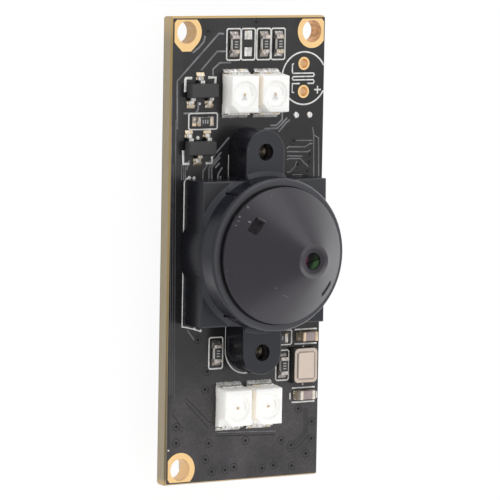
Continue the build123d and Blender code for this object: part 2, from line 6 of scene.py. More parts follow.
import bpy
from bpy.props import FloatProperty, FloatVectorProperty, IntProperty, PointerProperty
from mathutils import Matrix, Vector


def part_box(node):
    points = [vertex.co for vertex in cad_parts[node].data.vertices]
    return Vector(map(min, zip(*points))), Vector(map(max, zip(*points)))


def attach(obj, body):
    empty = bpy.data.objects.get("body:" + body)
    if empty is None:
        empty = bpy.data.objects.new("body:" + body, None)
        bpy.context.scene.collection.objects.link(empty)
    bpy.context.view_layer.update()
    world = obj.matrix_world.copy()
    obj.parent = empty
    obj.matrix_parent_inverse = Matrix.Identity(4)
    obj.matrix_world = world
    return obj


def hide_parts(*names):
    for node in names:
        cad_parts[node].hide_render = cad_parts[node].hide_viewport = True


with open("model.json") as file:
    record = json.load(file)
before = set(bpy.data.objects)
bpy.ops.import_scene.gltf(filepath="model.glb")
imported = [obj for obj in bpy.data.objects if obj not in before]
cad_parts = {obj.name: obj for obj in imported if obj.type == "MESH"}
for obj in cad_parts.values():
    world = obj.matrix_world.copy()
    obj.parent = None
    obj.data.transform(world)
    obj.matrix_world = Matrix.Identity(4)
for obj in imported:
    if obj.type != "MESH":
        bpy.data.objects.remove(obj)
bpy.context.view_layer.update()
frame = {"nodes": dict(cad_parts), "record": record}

bl_info = {
    "name": "Board Camera Looks",
    "version": (1, 0, 0),
    "blender": (4, 5, 0),
    "location": "View3D > Sidebar > Board Camera",
    "description": "Finishes, print, copper lines, solder and studio for a small pinhole board camera",
    "category": "Object",
}

MM = 0.001


def corners(node):
    """The lowest and the highest corner of a CAD node's box, in millimetres."""
    return [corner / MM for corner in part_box(node)]


def middle(node):
    """The middle of a CAD node in plan, in millimetres."""
    low, high = corners(node)
    return (low.x + high.x) / 2, (low.y + high.y) / 2


# Levels in millimetres, from the frame
BOARD_LOW, BOARD_HIGH = corners("circuit_board")
BOARD_BACK = BOARD_LOW.z
BOARD_FRONT = BOARD_HIGH.z
BOARD_HALF_Y = BOARD_HIGH.y
HOLDER_TOP = corners("lens_holder")[1].z
TIP_TOP = corners("lens_barrel")[1].z
FLANGE_R = corners("lens_barrel")[1].x
BASE_HEIGHT = 3.1
BASE_TOP = BOARD_FRONT + BASE_HEIGHT
RUB_LEVEL = BOARD_FRONT + 6.4

# Fineness of the meshes, in millimetres and degrees
MERGE_DISTANCE = 0.0005
SHARP_ANGLE = 28.0
DOT_SIDES = 16
SMALL_TURN_STEPS = 64

# Lens barrel and its glass: radii, and heights above the board's front
BARREL_FLANGE = [
    (5.95, 3.1), (5.95, 5.86), (6.09, 5.86), (6.12, 5.89), (6.12, 6.11), (6.1, 6.16), (6.05, 6.22),
]
CONE_RING_RADII = (5.3, 4.2, 3.2, 2.3)
BARREL_TIP = [
    (1.54, 11.19), (1.49, 11.245), (1.43, 11.27), (1.36, 11.26), (0.84, 11.15), (0.77, 11.12),
    (0.75, 11.07), (0.75, 10.94), (1.43, 10.935), (1.43, 9.69), (2.43, 9.69), (2.43, 7.6), (4.03, 7.5),
    (4.03, 3.1),
]
CONE_NORMAL_Z = 0.67
CONE_NORMAL_MARGIN = 0.12
POCKET_ANGLE = 142.0
POCKET_R = 4.74
POCKET_LENGTH = 0.7
POCKET_WIDTH = 1.5
POCKET_FLOOR = 7.18
POCKET_CORNER = 0.12
POCKET_MARGIN = 0.02
POCKET_CUT = 2.0
GLASS_TOP = 10.9
GLASS_R = 1.38
GLASS_THICKNESS = 0.4
GLASS_DOME_R = 1.2
GLASS_DOME = 0.12
GLASS_DOME_STEPS = 6

# Scratches as (start, end, width, strength) and specks as (x, y, radius), in plan
BARREL_SCRATCHES = [
    ((-1.72, -3.12), (-1.09, -3.37), 0.035, 0.3),
    ((-2.56, -2.42), (-2.44, -2.54), 0.05, 0.35),
    ((-3.42, 3.62), (-3.0, 3.3), 0.05, 0.6),
]
BARREL_SPECKS = [
    (-3.86, 4.46, 0.07), (-4.68, 3.67, 0.07), (-5.1, 2.91, 0.05), (-4.85, 3.29, 0.05), (-4.12, 3.26, 0.09),
]

# Lens holder
EJECTOR_MARK = (-5.5, -4.95)
EJECTOR_MARK_R = 0.43
# The dark ring in the gap round the flange is painted shadow.
FLANGE_GAP = 0.03
FLANGE_GAP_WIDTH = 0.2

# Diodes: the cup's floor as (share of its radius, rise), its wall, the crescent of painted shade, the die and
# the notch
CUP_STEPS = [(0, 0), (0.63, 0), (0.68, 0.05), (0.71, 0.06)]
CUP_WALL_SHARE = 0.95
CUP_WALL_DROP = 0.03
CUP_BODY = 0.25
CRESCENT_SHARE = 0.68
CRESCENT_ARC = (-12, 48, 10)
CRESCENT_RISE = 0.04
DIE_SIZE = 0.22
DIE_HEIGHT_SHARE = 0.45
DIE_RISE = 0.05
DIE_EDGE = 0.03
LEAD_GAP_R = 0.34
LEAD_GAP_DROP = 0.32
LEAD_GAP_RISE = 0.004
RIGHT_DIODE_WALL = 0.26

# Small marks: the line of painted shade on the lid's panel slope, the bars on the resistors, rings of vias
# and lumps of solder
THIN_MARK_WIDTH = 0.07
THIN_MARK_HEIGHT = 0.03
FINE_MARK_WIDTH = 0.1
FLAT_HEIGHT = 0.02
SLOPE_SHADE_INSET = 0.34
SLOPE_SHADE_CORNER = 0.14
SLOPE_SHADE_DROP = 0.02
RESISTOR_BARS = (-0.24, 0.0, 0.24)
RESISTOR_BAR_HALF = 0.17
VIA_RING_TUBE = 0.035
VIA_RING_FLATNESS = 0.4
SOLDER_LUMP_SIZE = 0.5

# Studio: sizes in metres, the lamps' places, and the camera's sensor in its own millimetres
FLOOR_SIZE = 4.0
FLOOR_COLOUR = (0.86, 0.86, 0.86, 1.0)
LAMP_SIZE = 0.3
LAMP_PLACES = {
    "upper_lamp": (0.06, 0.42, 0.15),
    "lower_lamp": (0.08, -0.4, 0.13),
    "right_lamp": (0.42, -0.04, 0.16),
}
SENSOR_WIDTH = 36.0

# Print on the board's front, as (x, y), outlines as (x, y, width, height) and dots as (x, y, radius)
CHIP_OUTLINES = [
    (-1.675, 18.48, 1.45, 2.8),
    (-0.145, 18.48, 1.45, 2.8),
    (1.49, 18.48, 1.45, 2.8),
    (3.02, 18.48, 1.45, 2.8),
    (-4.75, 11.66, 2.98, 1.44),
    (-3.01, -9.235, 1.44, 2.83),
    (3.56, -8.18, 2.98, 1.33),
    (4.095, -10.715, 1.37, 2.73),
]
EMPTY_PLACE = (-0.145, 18.48)
HOLDER_MARKS = [
    [(-5.9, 6.62), (-6.3, 6.6), (-6.59, 6.3), (-6.59, -6.7), (-6.2, -6.75), (-5.4, -6.95), (-4.6, -7.2)],
    [(-1.98, 8.6), (-1.98, 6.3)],
    [(5.38, -7.53), (7.76, -7.53)],
    [(5.38, -8.85), (7.76, -8.85)],
    [(5.18, -12.88), (7.65, -12.88)],
    [(5.18, -14.18), (7.65, -14.18)],
    [(5.0, -13.3), (5.0, -13.9)],
    [(7.88, -13.3), (7.88, -13.9)],
    [(5.05, -7.6), (5.05, -8.78)],
]
HOLDER_MARK_DOTS = [(-6.1, 6.65, 0.16), (-5.6, 6.6, 0.16), (-5.3, -6.9, 0.12), (-4.65, -7.1, 0.13)]
EAR_OUTLINE_START = [(-1.98, -6.9), (-1.98, -9.1)]
EAR_OUTLINE_CENTRE = (0.12, -9.1)
EAR_OUTLINE_R = 2.1
EAR_OUTLINE_ARC = (180, 276, 12)
TRANSISTOR_MARKS = [
    [(-5.97, 15.53), (-6.6, 15.53), (-6.66, 15.4), (-6.66, 14.3)],
    [(-4.29, 15.55), (-3.5, 15.55), (-3.56, 15.0)],
    [(-6.78, 9.1), (-6.74, 7.9), (-6.12, 7.9)],
    [(-4.41, 7.9), (-3.75, 7.9), (-3.75, 8.5)],
]
BOLD_SHARE = 1.8
PRINTED_DOTS = [(-5.27, 10.18, 0.18), (-5.14, 13.24, 0.13), (6.33, -9.12, 0.1), (6.33, -12.56, 0.1),
                (5.29, -9.39, 0.08), (-7.82, -17.79, 0.09)]
MIC_CENTRE = (5.87, 15.35)
MIC_OUTLINE_R = 2.38
MIC_OUTLINE_ARC = (29, 331, 48)
MIC_SYMBOL = [
    [(4.74, 16.68), (4.6, 16.6), (4.59, 15.95), (4.66, 15.8), (6.86, 15.8), (6.96, 15.65), (6.86, 15.5),
     (4.7, 15.5), (4.6, 15.35), (4.7, 15.2), (6.86, 15.2), (6.96, 15.03), (6.86, 14.87), (6.24, 14.87)],
    [(5.4, 14.87), (4.62, 14.87), (4.6, 14.1), (4.8, 14.06)],
]
PLUS_CENTRE = (7.33, 14.29)
PLUS_ARM = 0.35

# Copper under the mask on the board's front, and the vias
COPPER_LINES = [
    [(-2.72, 19.44), (-3.24, 19.47), (-7.5, 15.3), (-7.42, 11.0)],
    [(-4.68, 19.28), (-4.8, 18.76), (-5.31, 18.24), (-5.95, 17.77)],
    [(-2.52, 17.87), (-3.39, 17.87), (-5.05, 16.2)],
    [(-1.93, 16.87), (-3.11, 16.85), (-3.8, 16.29), (-3.79, 15.69)],
    [(-6.8, 12.4), (-5.5, 12.42), (-5.28, 12.75), (-5.3, 13.4)],
    [(3.59, 12.33), (3.6, 11.65), (3.0, 11.14), (2.32, 11.14)],
    [(4.14, 11.79), (3.09, 10.86), (1.71, 10.86)],
    [(4.41, 11.6), (4.02, 11.34), (3.23, 10.55)],
    [(-1.98, 10.15), (-3.37, 8.75), (-4.64, 7.22), (-4.68, 6.5)],
    [(-2.79, 8.83), (-4.02, 7.56), (-4.03, 6.48)],
    [(-2.89, 8.42), (-3.76, 7.51), (-3.74, 6.47)],
    [(-2.93, 7.89), (-3.39, 7.45)],
    [(-2.66, 7.48), (-3.07, 6.9), (-3.11, 6.46)],
    [(-2.82, 6.72), (-2.83, 6.45)],
    [(-6.12, 8.19), (-6.37, 7.35)],
    [(-6.04, -7.0), (-5.29, -7.94)],
]
THIN_LINES = [
    [(5.13, 9.72), (6.88, 9.68)],
    [(4.14, 9.01), (4.35, 9.16), (6.14, 9.12), (6.62, 9.4), (6.89, 9.39)],
    [(4.15, 8.72), (6.37, 8.66), (6.69, 8.82)],
    [(4.16, 8.33), (5.84, 8.28)],
    [(4.17, 7.98), (4.43, 8.09), (5.63, 8.06), (5.85, 7.84), (6.51, 7.29)],
    [(4.19, 6.85), (4.53, 6.84), (5.05, 7.33), (5.24, 7.84)],
    [(4.8, 6.6), (5.88, 6.57)],
    [(6.86, 10.9), (7.01, 10.35), (7.1, 6.44)],
    [(7.01, 10.18), (7.56, 9.89), (7.64, 6.42)],
]
FINE_LINES = [
    [(-2.71, -16.46), (3.48, -16.71)],
    [(-8.03, 13.98), (-7.96, 6.5), (-7.9, 0.25), (-7.76, -12.77)],
    [(-7.78, 7.84), (-7.68, 0.25), (-7.52, -12.78)],
    [(-7.58, 11.84), (-7.44, 0.24), (-7.28, -13.25)],
    [(-6.9, 7.81), (-6.89, 6.47)],
    [(-6.69, 7.81), (-6.66, 6.47)],
    [(-6.51, 7.8), (-6.51, 6.46)],
]
COPPER_GAPS = [
    [(-6.13, -13.49), (-3.67, -16.0)],
    [(-6.06, -13.16), (-3.57, -15.46), (-3.04, -15.53)],
    [(-7.47, -14.55), (-6.29, -15.92)],
    [(-6.82, -15.8), (-6.45, -16.19)],
    [(-7.84, -12.76), (-7.78, -17.55)],
    [(6.55, -14.78), (6.6, -17.0), (5.34, -17.93)],
    [(6.73, -14.79), (6.78, -17.1), (5.51, -18.22)],
    [(6.9, -14.8), (6.95, -17.11)],
    [(7.17, -17.22), (6.0, -18.25), (5.21, -18.69)],
    [(4.65, -18.25), (4.93, -18.64), (5.25, -18.75)],
    [(-2.91, -16.77), (3.49, -17.03)],
]
FINE_LINE_SHARE = 0.45
THIN_LINE_SHARE = 0.7
VIAS = [
    (-7.02, -17.17), (-3.6, -17.4), (0.29, -17.39), (4.16, -17.58), (5.21, -18.1), (7.4, -17.63),
    (6.83, -18.98), (-3.9, -18.85), (-3.24, -20.0), (-1.8, -19.94), (-0.88, -19.74), (2.12, -20.04),
    (3.35, -19.85), (5.32, -20.02), (-4.09, -12.48), (-7.03, -15.7), (-4.39, 19.68), (0.65, 20.47),
    (6.41, 6.9), (-4.93, -7.96), (7.4, -16.06), (5.92, -14.8), (4.87, 9.72), (6.59, 7.75), (6.64, 8.43),
    (5.38, 7.55), (-3.87, -10.86),
]

# Print on the board's back, and its copper, which is the same on both sides of the middle
BACK_OUTLINES = [
    (0.0, -1.6, 7.7, 7.7), (0.0, 15.2, 6.9, 5.5), (-5.2, 7.3, 3.5, 3.5), (0.0, -18.25, 10.3, 4.9),
]
BACK_DOTS = [(-4.2, 2.5, 0.2), (-3.9, 18.2, 0.18), (-6.6, 9.4, 0.15), (-2.6, -15.3, 0.18)]
BACK_LINES = [
    [(side * near, start), (side * near, bend), (side * far, bend + (far - near) * slope), (side * far, end)]
    for side in (-1, 1)
    for near, start, bend, far, slope, end in (
        (2.0, -5.4, -11.2, 0.5, 1.1, -14.9), (2.4, -5.4, -11.6, 1.5, 1.3, -14.9),
        (2.0, 2.1, 10.4, 3.5, 1.3, 12.3), (2.5, 2.1, 9.4, 4.3, 1.2, 16.5), (3.1, 2.1, 5.0, 4.6, 1.0, 9.8),
    )
]

# Chip resistors as (x, y, turn in degrees)
RESISTOR_PLACES = [
    (-1.68, 18.5, 90), (1.49, 18.5, 90), (3.02, 18.5, 90), (-4.78, 11.66, 0), (-3.01, -9.24, 90),
    (3.56, -8.18, 0), (4.08, -10.74, 90),
]


# Shader arithmetic
SURFACE_SOCKETS = {
    "colour": "Base Color", "rough": "Roughness", "metal": "Metallic", "bump": "Normal",
    "glow": "Emission Color",
}


class Value:
    """One output of a shader node. Python's operators on it add Math nodes."""

    def __init__(self, finish, socket):
        self.finish = finish
        self.socket = socket

    def maths(self, operation, *values):
        return self.finish.node("ShaderNodeMath", {"operation": operation}, dict(enumerate(values)))

    def __add__(self, other):
        return self.maths("ADD", self, other)

    def __sub__(self, other):
        return self.maths("SUBTRACT", self, other)

    def __rsub__(self, other):
        return self.maths("SUBTRACT", other, self)

    def __mul__(self, other):
        return self.maths("MULTIPLY", self, other)

    def __truediv__(self, other):
        return self.maths("DIVIDE", self, other)

    def __rtruediv__(self, other):
        return self.maths("DIVIDE", other, self)

    def __gt__(self, other):
        return self.maths("GREATER_THAN", self, other)

    def __lt__(self, other):
        return self.maths("LESS_THAN", self, other)

    def __abs__(self):
        return self.maths("ABSOLUTE", self)

    __radd__ = __add__
    __rmul__ = __mul__

    def least(self, other):
        return self.maths("MINIMUM", self, other)

    def most(self, other):
        return self.maths("MAXIMUM", self, other)

    def step(self, low, high):
        """Zero below low, one above high and smooth between them."""
        ranges = {"Value": self, "From Min": low, "From Max": high}
        return self.finish.node("ShaderNodeMapRange", {"interpolation_type": "SMOOTHSTEP"}, ranges)


class Finish:
    """A material under construction: one Principled surface and the nodes that feed it."""

    def __init__(self, name, fixed):
        self.material = bpy.data.materials.new(name)
        self.material.use_nodes = True
        self.tree = self.material.node_tree
        self.surface = self.tree.nodes["Principled BSDF"]
        for socket, value in fixed.items():
            self.surface.inputs[socket].default_value = value

    def node(self, kind, settings=None, values=None, output=0):
        """Adds a node, sets it up, feeds its sockets and returns one of its outputs."""
        added = self.tree.nodes.new(kind)
        for name, setting in (settings or {}).items():
            setattr(added, name, setting)
        for socket, value in (values or {}).items():
            self.feed(added.inputs[socket], value)
        return Value(self, added.outputs[output])

    def feed(self, socket, value):
        if isinstance(value, Value):
            self.tree.links.new(value.socket, socket)
        else:
            socket.default_value = value

    def place(self):
        """Object coordinates in millimetres."""
        point = self.node("ShaderNodeTexCoord", output="Object")
        return self.node("ShaderNodeVectorMath", {"operation": "SCALE"}, {0: point, "Scale": 1 / MM})

    def parts(self, vector):
        kind = "ShaderNodeSeparateXYZ"
        return [self.node(kind, values={0: vector}, output=axis) for axis in ("X", "Y", "Z")]

    def normal(self):
        return self.parts(self.node("ShaderNodeNewGeometry", output="Normal"))

    def noise(self, scale, detail=3.0, stretch=(1, 1, 1)):
        """Noise with features about 1 / scale millimetres wide, finer along the axes that stretch raises."""
        point = self.node("ShaderNodeMapping", values={"Vector": self.place(), "Scale": stretch})
        return self.node("ShaderNodeTexNoise", values={"Vector": point, "Scale": scale, "Detail": detail})

    def specks(self, per_mm, size):
        """One at the middle of scattered cells and zero elsewhere."""
        values = {"Vector": self.place(), "Scale": per_mm, "Randomness": 1.0}
        return self.node("ShaderNodeTexVoronoi", {"feature": "F1"}, values) < size * per_mm

    def blend(self, factor, first, second):
        """The first colour where the factor is zero and the second where it is one."""
        values = {"Factor": factor, 6: first, 7: second}
        return self.node("ShaderNodeMix", {"data_type": "RGBA"}, values, output=2)

    def bump(self, height, distance, strength, under=None):
        """Raises the surface by height, from zero to one, times distance in millimetres."""
        values = {"Strength": strength, "Distance": distance * MM, "Height": height}
        if under is not None:
            values["Normal"] = under
        return self.node("ShaderNodeBump", values=values)

    def layered(self, colour, *tones):
        """Lays tones over a colour in order, each given with the mask that lets it show."""
        for mask, tone in tones:
            colour = self.blend(mask, colour, tone)
        return colour

    def done(self, **inputs):
        """Feeds the surface: colour, roughness, metallic, normal or glow."""
        for name, value in inputs.items():
            self.feed(self.surface.inputs[SURFACE_SOCKETS[name]], value)
        return self.material


def shade(colour, factor):
    """The colour, lighter or darker by a factor, with full alpha."""
    return tuple(min(1.0, channel * factor) for channel in colour[:3]) + (1.0,)


def looks():
    return bpy.context.scene.board_camera_looks


def sizes():
    return bpy.context.scene.board_camera_sizes


def studio():
    return bpy.context.scene.board_camera_studio


# Fixed sockets of the white diode plastics, which let a little light in, and their painted glow
TRANSLUCENT = {
    "Subsurface Weight": 0.9, "Subsurface Scale": 1.2 * MM, "Subsurface Radius": (1.0, 0.9, 0.8), "IOR": 1.45,
}
HOUSING_PAINTED_GLOW = 0.155
RESIN_PAINTED_GLOW = 0.165

# How metallic tin is, and tones that need no setting
TIN_METALLIC = 0.85
GLASS_DARK = (0.008, 0.01, 0.009, 1.0)
GLASS_SHADOW = (0.004, 0.004, 0.004, 1.0)
CERAMIC_DARK = (0.62, 0.6, 0.56, 1.0)
CERAMIC_PALE = (0.8, 0.78, 0.74, 1.0)


# Finishes
def mask_finish():
    """Black solder mask with painted light towards the board's ends and its upper left edge, painted shade
    beside the holder's ear, and bare fibre laminate round its edges.
    """
    finish = Finish("board_mask", {"IOR": 1.5, "Coat Weight": 0.0})
    look = looks()
    x, y, z = finish.parts(finish.place())
    _, ny, nz = finish.normal()
    side = abs(nz) < 0.7
    mottle = finish.noise(0.35, 4.0)
    # Painted light: the mask is made paler towards both ends of the board and along its upper left edge.
    lower_end = 1 - y.step(-14.5, -8.5)
    upper_end = y.step(14.0, 20.0)
    left_edge = (1 - x.step(-7.3, -6.6)) * y.step(4.0, 7.0)
    # Painted shade on the mask beside the holder's ear.
    shade_beside_ear = x.step(3.6, 4.6) * (1 - abs(y - 8.3).step(2.2, 3.4))
    grit = finish.noise(4.5, 3.0).step(0.35, 0.65)
    dust = finish.specks(1.3, 0.04) * finish.noise(0.5, 2.0).step(0.48, 0.6)
    broken_edge = y + BOARD_HALF_Y < 0.1
    lit = finish.layered(
        look.mask,
        (lower_end, look.mask_painted_light),
        (upper_end * 0.25, look.mask_painted_light),
        (left_edge * 0.3, look.mask_painted_light))
    mask = finish.layered(
        finish.blend(mottle, shade(look.mask, 0.5), lit),
        (shade_beside_ear * 0.6, shade(look.mask, 0.35)),
        (grit * 0.3, shade(look.mask, 0.5)),
        (dust * 0.4, shade(look.ink, 0.4)),
        (broken_edge * 0.7, look.laminate_end))
    depth = (z - BOARD_BACK) / (BOARD_FRONT - BOARD_BACK)
    plies = finish.noise(0.6, 5.0, (1, 1, 22))
    fibres = finish.noise(5.0, 4.0, (0.35, 0.35, 5))
    band = depth.step(0.68, 0.8) - depth.step(0.9, 0.98)
    stripe = finish.blend(1 - y.step(-18.0, 6.0), look.laminate_band, shade(look.laminate_band, 0.3))
    dark_line = depth.step(0.95, 0.99) + (1 - depth.step(0.03, 0.1)) * 0.4
    # The end faces take the ends' golden tone: partly the laminate's own colour, partly painted light on
    # faces turned to the lamps.
    end_face_tone_and_light = abs(ny) > 0.4
    near_end = 1 - (y + BOARD_HALF_Y).step(0.15, 0.7)
    far_end = (y - BOARD_HALF_Y + 2.6).step(0.0, 2.2)
    laminate = finish.layered(
        finish.blend(plies, shade(look.laminate, 0.72), shade(look.laminate, 1.15)),
        (fibres * 0.5, shade(look.laminate_band, 1.2)),
        (band * 0.9, stripe),
        (dark_line * 0.8, shade(look.laminate_band, 0.18)),
        (end_face_tone_and_light * (1 - band) * 0.6, look.laminate_end),
        (near_end * 0.5 + far_end * 0.35, look.laminate_end))
    rough = finish.noise(9.0, 2.0) * 0.08 + mottle * 0.1 + side * 0.4 + 0.14
    ripple = finish.bump(mottle, 0.02, 0.35)
    grain = finish.bump(finish.noise(5.0, 3.0), 0.003, 0.5, ripple)
    relief = finish.bump(fibres * side, 0.05, 0.6, grain)
    return finish.done(colour=finish.blend(side, mask, laminate), rough=rough, bump=relief)


def trace_finish():
    """Solder mask where copper lifts it: lighter and glossier, with painted shade along the left beside the
    holder and over the right.
    """
    finish = Finish("raised_mask", {"IOR": 1.55})
    copper = looks().copper_mask
    mottle = finish.noise(0.8, 4.0)
    x, y, _ = finish.parts(finish.place())
    # Painted shade: the raised lines are dimmed along the left beside the holder and over the upper right.
    left = (1 - x.step(-7.35, -7.0)) * (1 - y.step(7.0, 9.5))
    right = x.step(4.0, 4.2) * y.step(0.0, 1.0)
    lit = finish.blend(mottle.step(0.35, 0.65), shade(copper, 0.55), copper)
    colour = finish.blend((left * 0.8 + right * 0.15).least(1.0), lit, shade(copper, 0.15))
    return finish.done(colour=colour, rough=mottle * 0.15 + 0.22)


def print_finish():
    """White epoxy ink, thinner in places."""
    finish = Finish("board_print", {"IOR": 1.45})
    worn = finish.noise(2.5, 4.0).step(0.25, 0.6)
    grain = finish.noise(22.0, 2.0)
    colour = finish.blend(worn, shade(looks().ink, 0.72), looks().ink)
    return finish.done(colour=colour, rough=grain * 0.2 + 0.5, bump=finish.bump(grain, 0.006, 0.5))


def gold_finish():
    """Soft immersion gold over copper, streaked down the holes, with painted shade in the lower holes and
    browner in the top right one.
    """
    finish = Finish("gold_plating", {"Metallic": 1.0})
    look = looks()
    x, y, _ = finish.parts(finish.place())
    wall = abs(finish.normal()[2]) < 0.5
    cloud = finish.noise(1.4, 4.0)
    grain = finish.noise(16.0, 3.0)
    streaks = finish.noise(2.2, 4.0, (1.5, 1.5, 0.6)).step(0.3, 0.7)
    brown = finish.blend(streaks, shade(look.gold_brown, 0.7), shade(look.gold_brown, 1.3))
    # Painted shade darkens the walls of the holes below the middle; the top right hole is browner.
    lining = finish.layered(
        finish.blend(streaks, look.gold_wall, look.gold_streak),
        (y < 0, shade(look.gold_wall, 0.76)),
        ((x > 0) * (y > 18.0), brown))
    colour = finish.blend(wall, finish.blend(cloud, shade(look.gold, 0.93), shade(look.gold, 1.08)), lining)
    rough = grain * 0.16 + cloud * 0.12 + 0.26
    return finish.done(colour=colour, rough=rough, bump=finish.bump(grain, 0.006, 0.6))


def holder_finish():
    """Moulded black plastic with fine grain and dust, a painted highlight on the rim, painted light on the
    base's top, painted shade on its left face and a painted sheen on the barrel's left.
    """
    finish = Finish("holder_plastic", {"IOR": 1.5, "Specular Tint": (0.92, 0.94, 1.0, 1.0)})
    look = looks()
    _, y, z = finish.parts(finish.place())
    nx, ny, nz = finish.normal()
    cloud = finish.noise(0.5, 4.0)
    grain = finish.noise(8.0, 3.0)
    dust = finish.specks(0.9, 0.045) * finish.noise(0.3, 2.0).step(0.5, 0.62)
    # The rim's highlight, the light on the base's top and the sheen are painted light; the darker left face
    # is painted shade.
    rim = z.step(HOLDER_TOP - 0.2, HOLDER_TOP - 0.05) * nz.step(0.5, 0.9) * (grain * 0.5 + 0.7)
    foot = 1 - abs(z - (BASE_TOP + 0.3)).step(0.1, 0.5)
    lit_base = (nz > 0.8) * (abs(z - BASE_TOP) < 0.12) * y.step(1.5, 5.0) * (1 - y.step(6.2, 7.2) * 0.55)
    left_face_shade = (nx < -0.8) * (z < BASE_TOP)
    sheen = (0 - nx * 0.91 - ny * 0.42).step(0.9, 0.995) * (z > BASE_TOP + 0.6)
    body = finish.layered(
        finish.blend(cloud, shade(look.holder, 0.85), shade(look.holder, 1.2)),
        (lit_base, shade(look.holder_painted_light, 0.5)),
        (left_face_shade, shade(look.holder, 0.55)),
        (sheen * 0.8, shade(look.holder_painted_light, 0.9)),
        (rim, look.holder_painted_light),
        (dust * 0.55, shade(look.ink, 0.5)))
    rough = cloud * 0.08 + grain * 0.06 + dust * 0.3 + rim * 0.1 + foot * 0.25 + 0.2
    uneven = finish.bump(cloud, 0.03, 0.2)
    return finish.done(colour=body, rough=rough, bump=finish.bump(grain, 0.002, 0.4, uneven))


def barrel_finish():
    """Satin black with scratches, specks and rub marks on the cone, painted light on the tip's rim, and rough
    pockets darkened by painted shade, the right one lightened by painted light.
    """
    finish = Finish("barrel_plastic", {"IOR": 1.5, "Specular Tint": (0.99, 0.945, 1.0, 1.0)})
    look = looks()
    x, y, z = finish.parts(finish.place())
    cloud = finish.noise(0.4, 4.0)
    grain = finish.noise(10.0, 3.0)
    rub_height = 1 - abs(z - RUB_LEVEL).step(0.0, 0.7)
    marks = finish.specks(2.8, 0.038) * rub_height * (x < 1.0) * finish.noise(0.7, 2.0).step(0.4, 0.5)
    for start, end, width, strength in BARREL_SCRATCHES:
        marks = line_mask(x, y, start, end, width) * strength + marks
    for at_x, at_y, radius in BARREL_SPECKS:
        away = (x - at_x) * (x - at_x) + (y - at_y) * (y - at_y)
        marks = (away < radius * radius) * 0.8 + marks
    marks = marks.least(1.0)
    # Painted light: the tip's rim is paler on the sides turned to the lamps.
    tip = abs(y).step(0.2, 0.8) * 0.045 + (0 - y).step(-0.8, 0.8) * 0.06
    pocket = pocket_mask(finish, x, y)
    body = finish.layered(
        finish.blend(cloud, shade(look.barrel, 0.88), shade(look.barrel, 1.15)),
        (marks * 0.5, shade(look.ink, 0.45)),
        (tip * z.step(TIP_TOP - 0.1, TIP_TOP - 0.02), look.ink),
        # Painted shade darkens the pockets; painted light lightens the right one.
        (pocket * grain.step(0.35, 0.7), look.pocket),
        (pocket * (x > 3.0) * 0.8, shade(look.holder_painted_light, 1.2)))
    rough = cloud * 0.08 + grain * 0.06 + marks * 0.2 + pocket * 0.3 + look.barrel_roughness
    uneven = finish.bump(cloud, 0.03, 0.2)
    pitted = finish.bump(pocket * finish.noise(4.0, 4.0), 0.2, 1.0, uneven)
    return finish.done(colour=body, rough=rough, bump=finish.bump(grain, 0.002, 0.4, pitted))


def pocket_mask(finish, x, y):
    """One on the floors and walls of the two spanner pockets."""
    nz = finish.normal()[2]
    turn = radians(POCKET_ANGLE)
    along = x * cos(turn) + y * sin(turn)
    across = y * cos(turn) - x * sin(turn)
    inside = (abs(abs(along) - POCKET_R) < POCKET_LENGTH / 2 + POCKET_MARGIN)
    inside = inside * (abs(across) < POCKET_WIDTH / 2 + POCKET_MARGIN)
    return inside * (abs(nz - CONE_NORMAL_Z) > CONE_NORMAL_MARGIN)


def line_mask(x, y, start, end, width):
    """One near the straight line from start to end in plan, in millimetres."""
    run = hypot(end[0] - start[0], end[1] - start[1])
    ux = (end[0] - start[0]) / run
    uy = (end[1] - start[1]) / run
    along = (x - start[0]) * ux + (y - start[1]) * uy
    across = (y - start[1]) * ux - (x - start[0]) * uy
    return (abs(across) < width) * (along > 0.0) * (along < run)


def tin_finish(name="tinned_metal", roughness=0.28, patches=2.2, dark=0.45, base=None, zones=()):
    """Bright, uneven tin. A zone has its centre, size, tone or None, and how metallic it is."""
    finish = Finish(name, {"Metallic": TIN_METALLIC})
    base = base or looks().tin
    cloud = finish.noise(patches, 5.0, (2.2, 1, 1))
    grain = finish.noise(12.0, 3.0)
    tinted = finish.blend(finish.noise(patches / 2, 3.0).step(0.52, 0.64), base, looks().flux)
    colour = finish.blend(cloud.step(0.35, 0.6), shade(base, dark), tinted)
    if zones:
        metal = TIN_METALLIC
        x, y, _ = finish.parts(finish.place())
        glints = finish.noise(5.0, 3.0).step(0.56, 0.66)
        for (at_x, at_y), (size_x, size_y), tone, metallic in zones:
            inside = (abs(x - at_x) < size_x / 2) * (abs(y - at_y) < size_y / 2)
            if tone:
                colour = finish.blend(inside * (1 - glints), colour, tone)
            metal = inside * (metallic - TIN_METALLIC) + metal
        finish.done(metal=metal)
    rough = cloud * 0.2 + grain * 0.12 + roughness
    uneven = finish.bump(cloud, 0.06, 0.6)
    return finish.done(colour=colour, rough=rough, bump=finish.bump(grain, 0.012, 0.6, uneven))


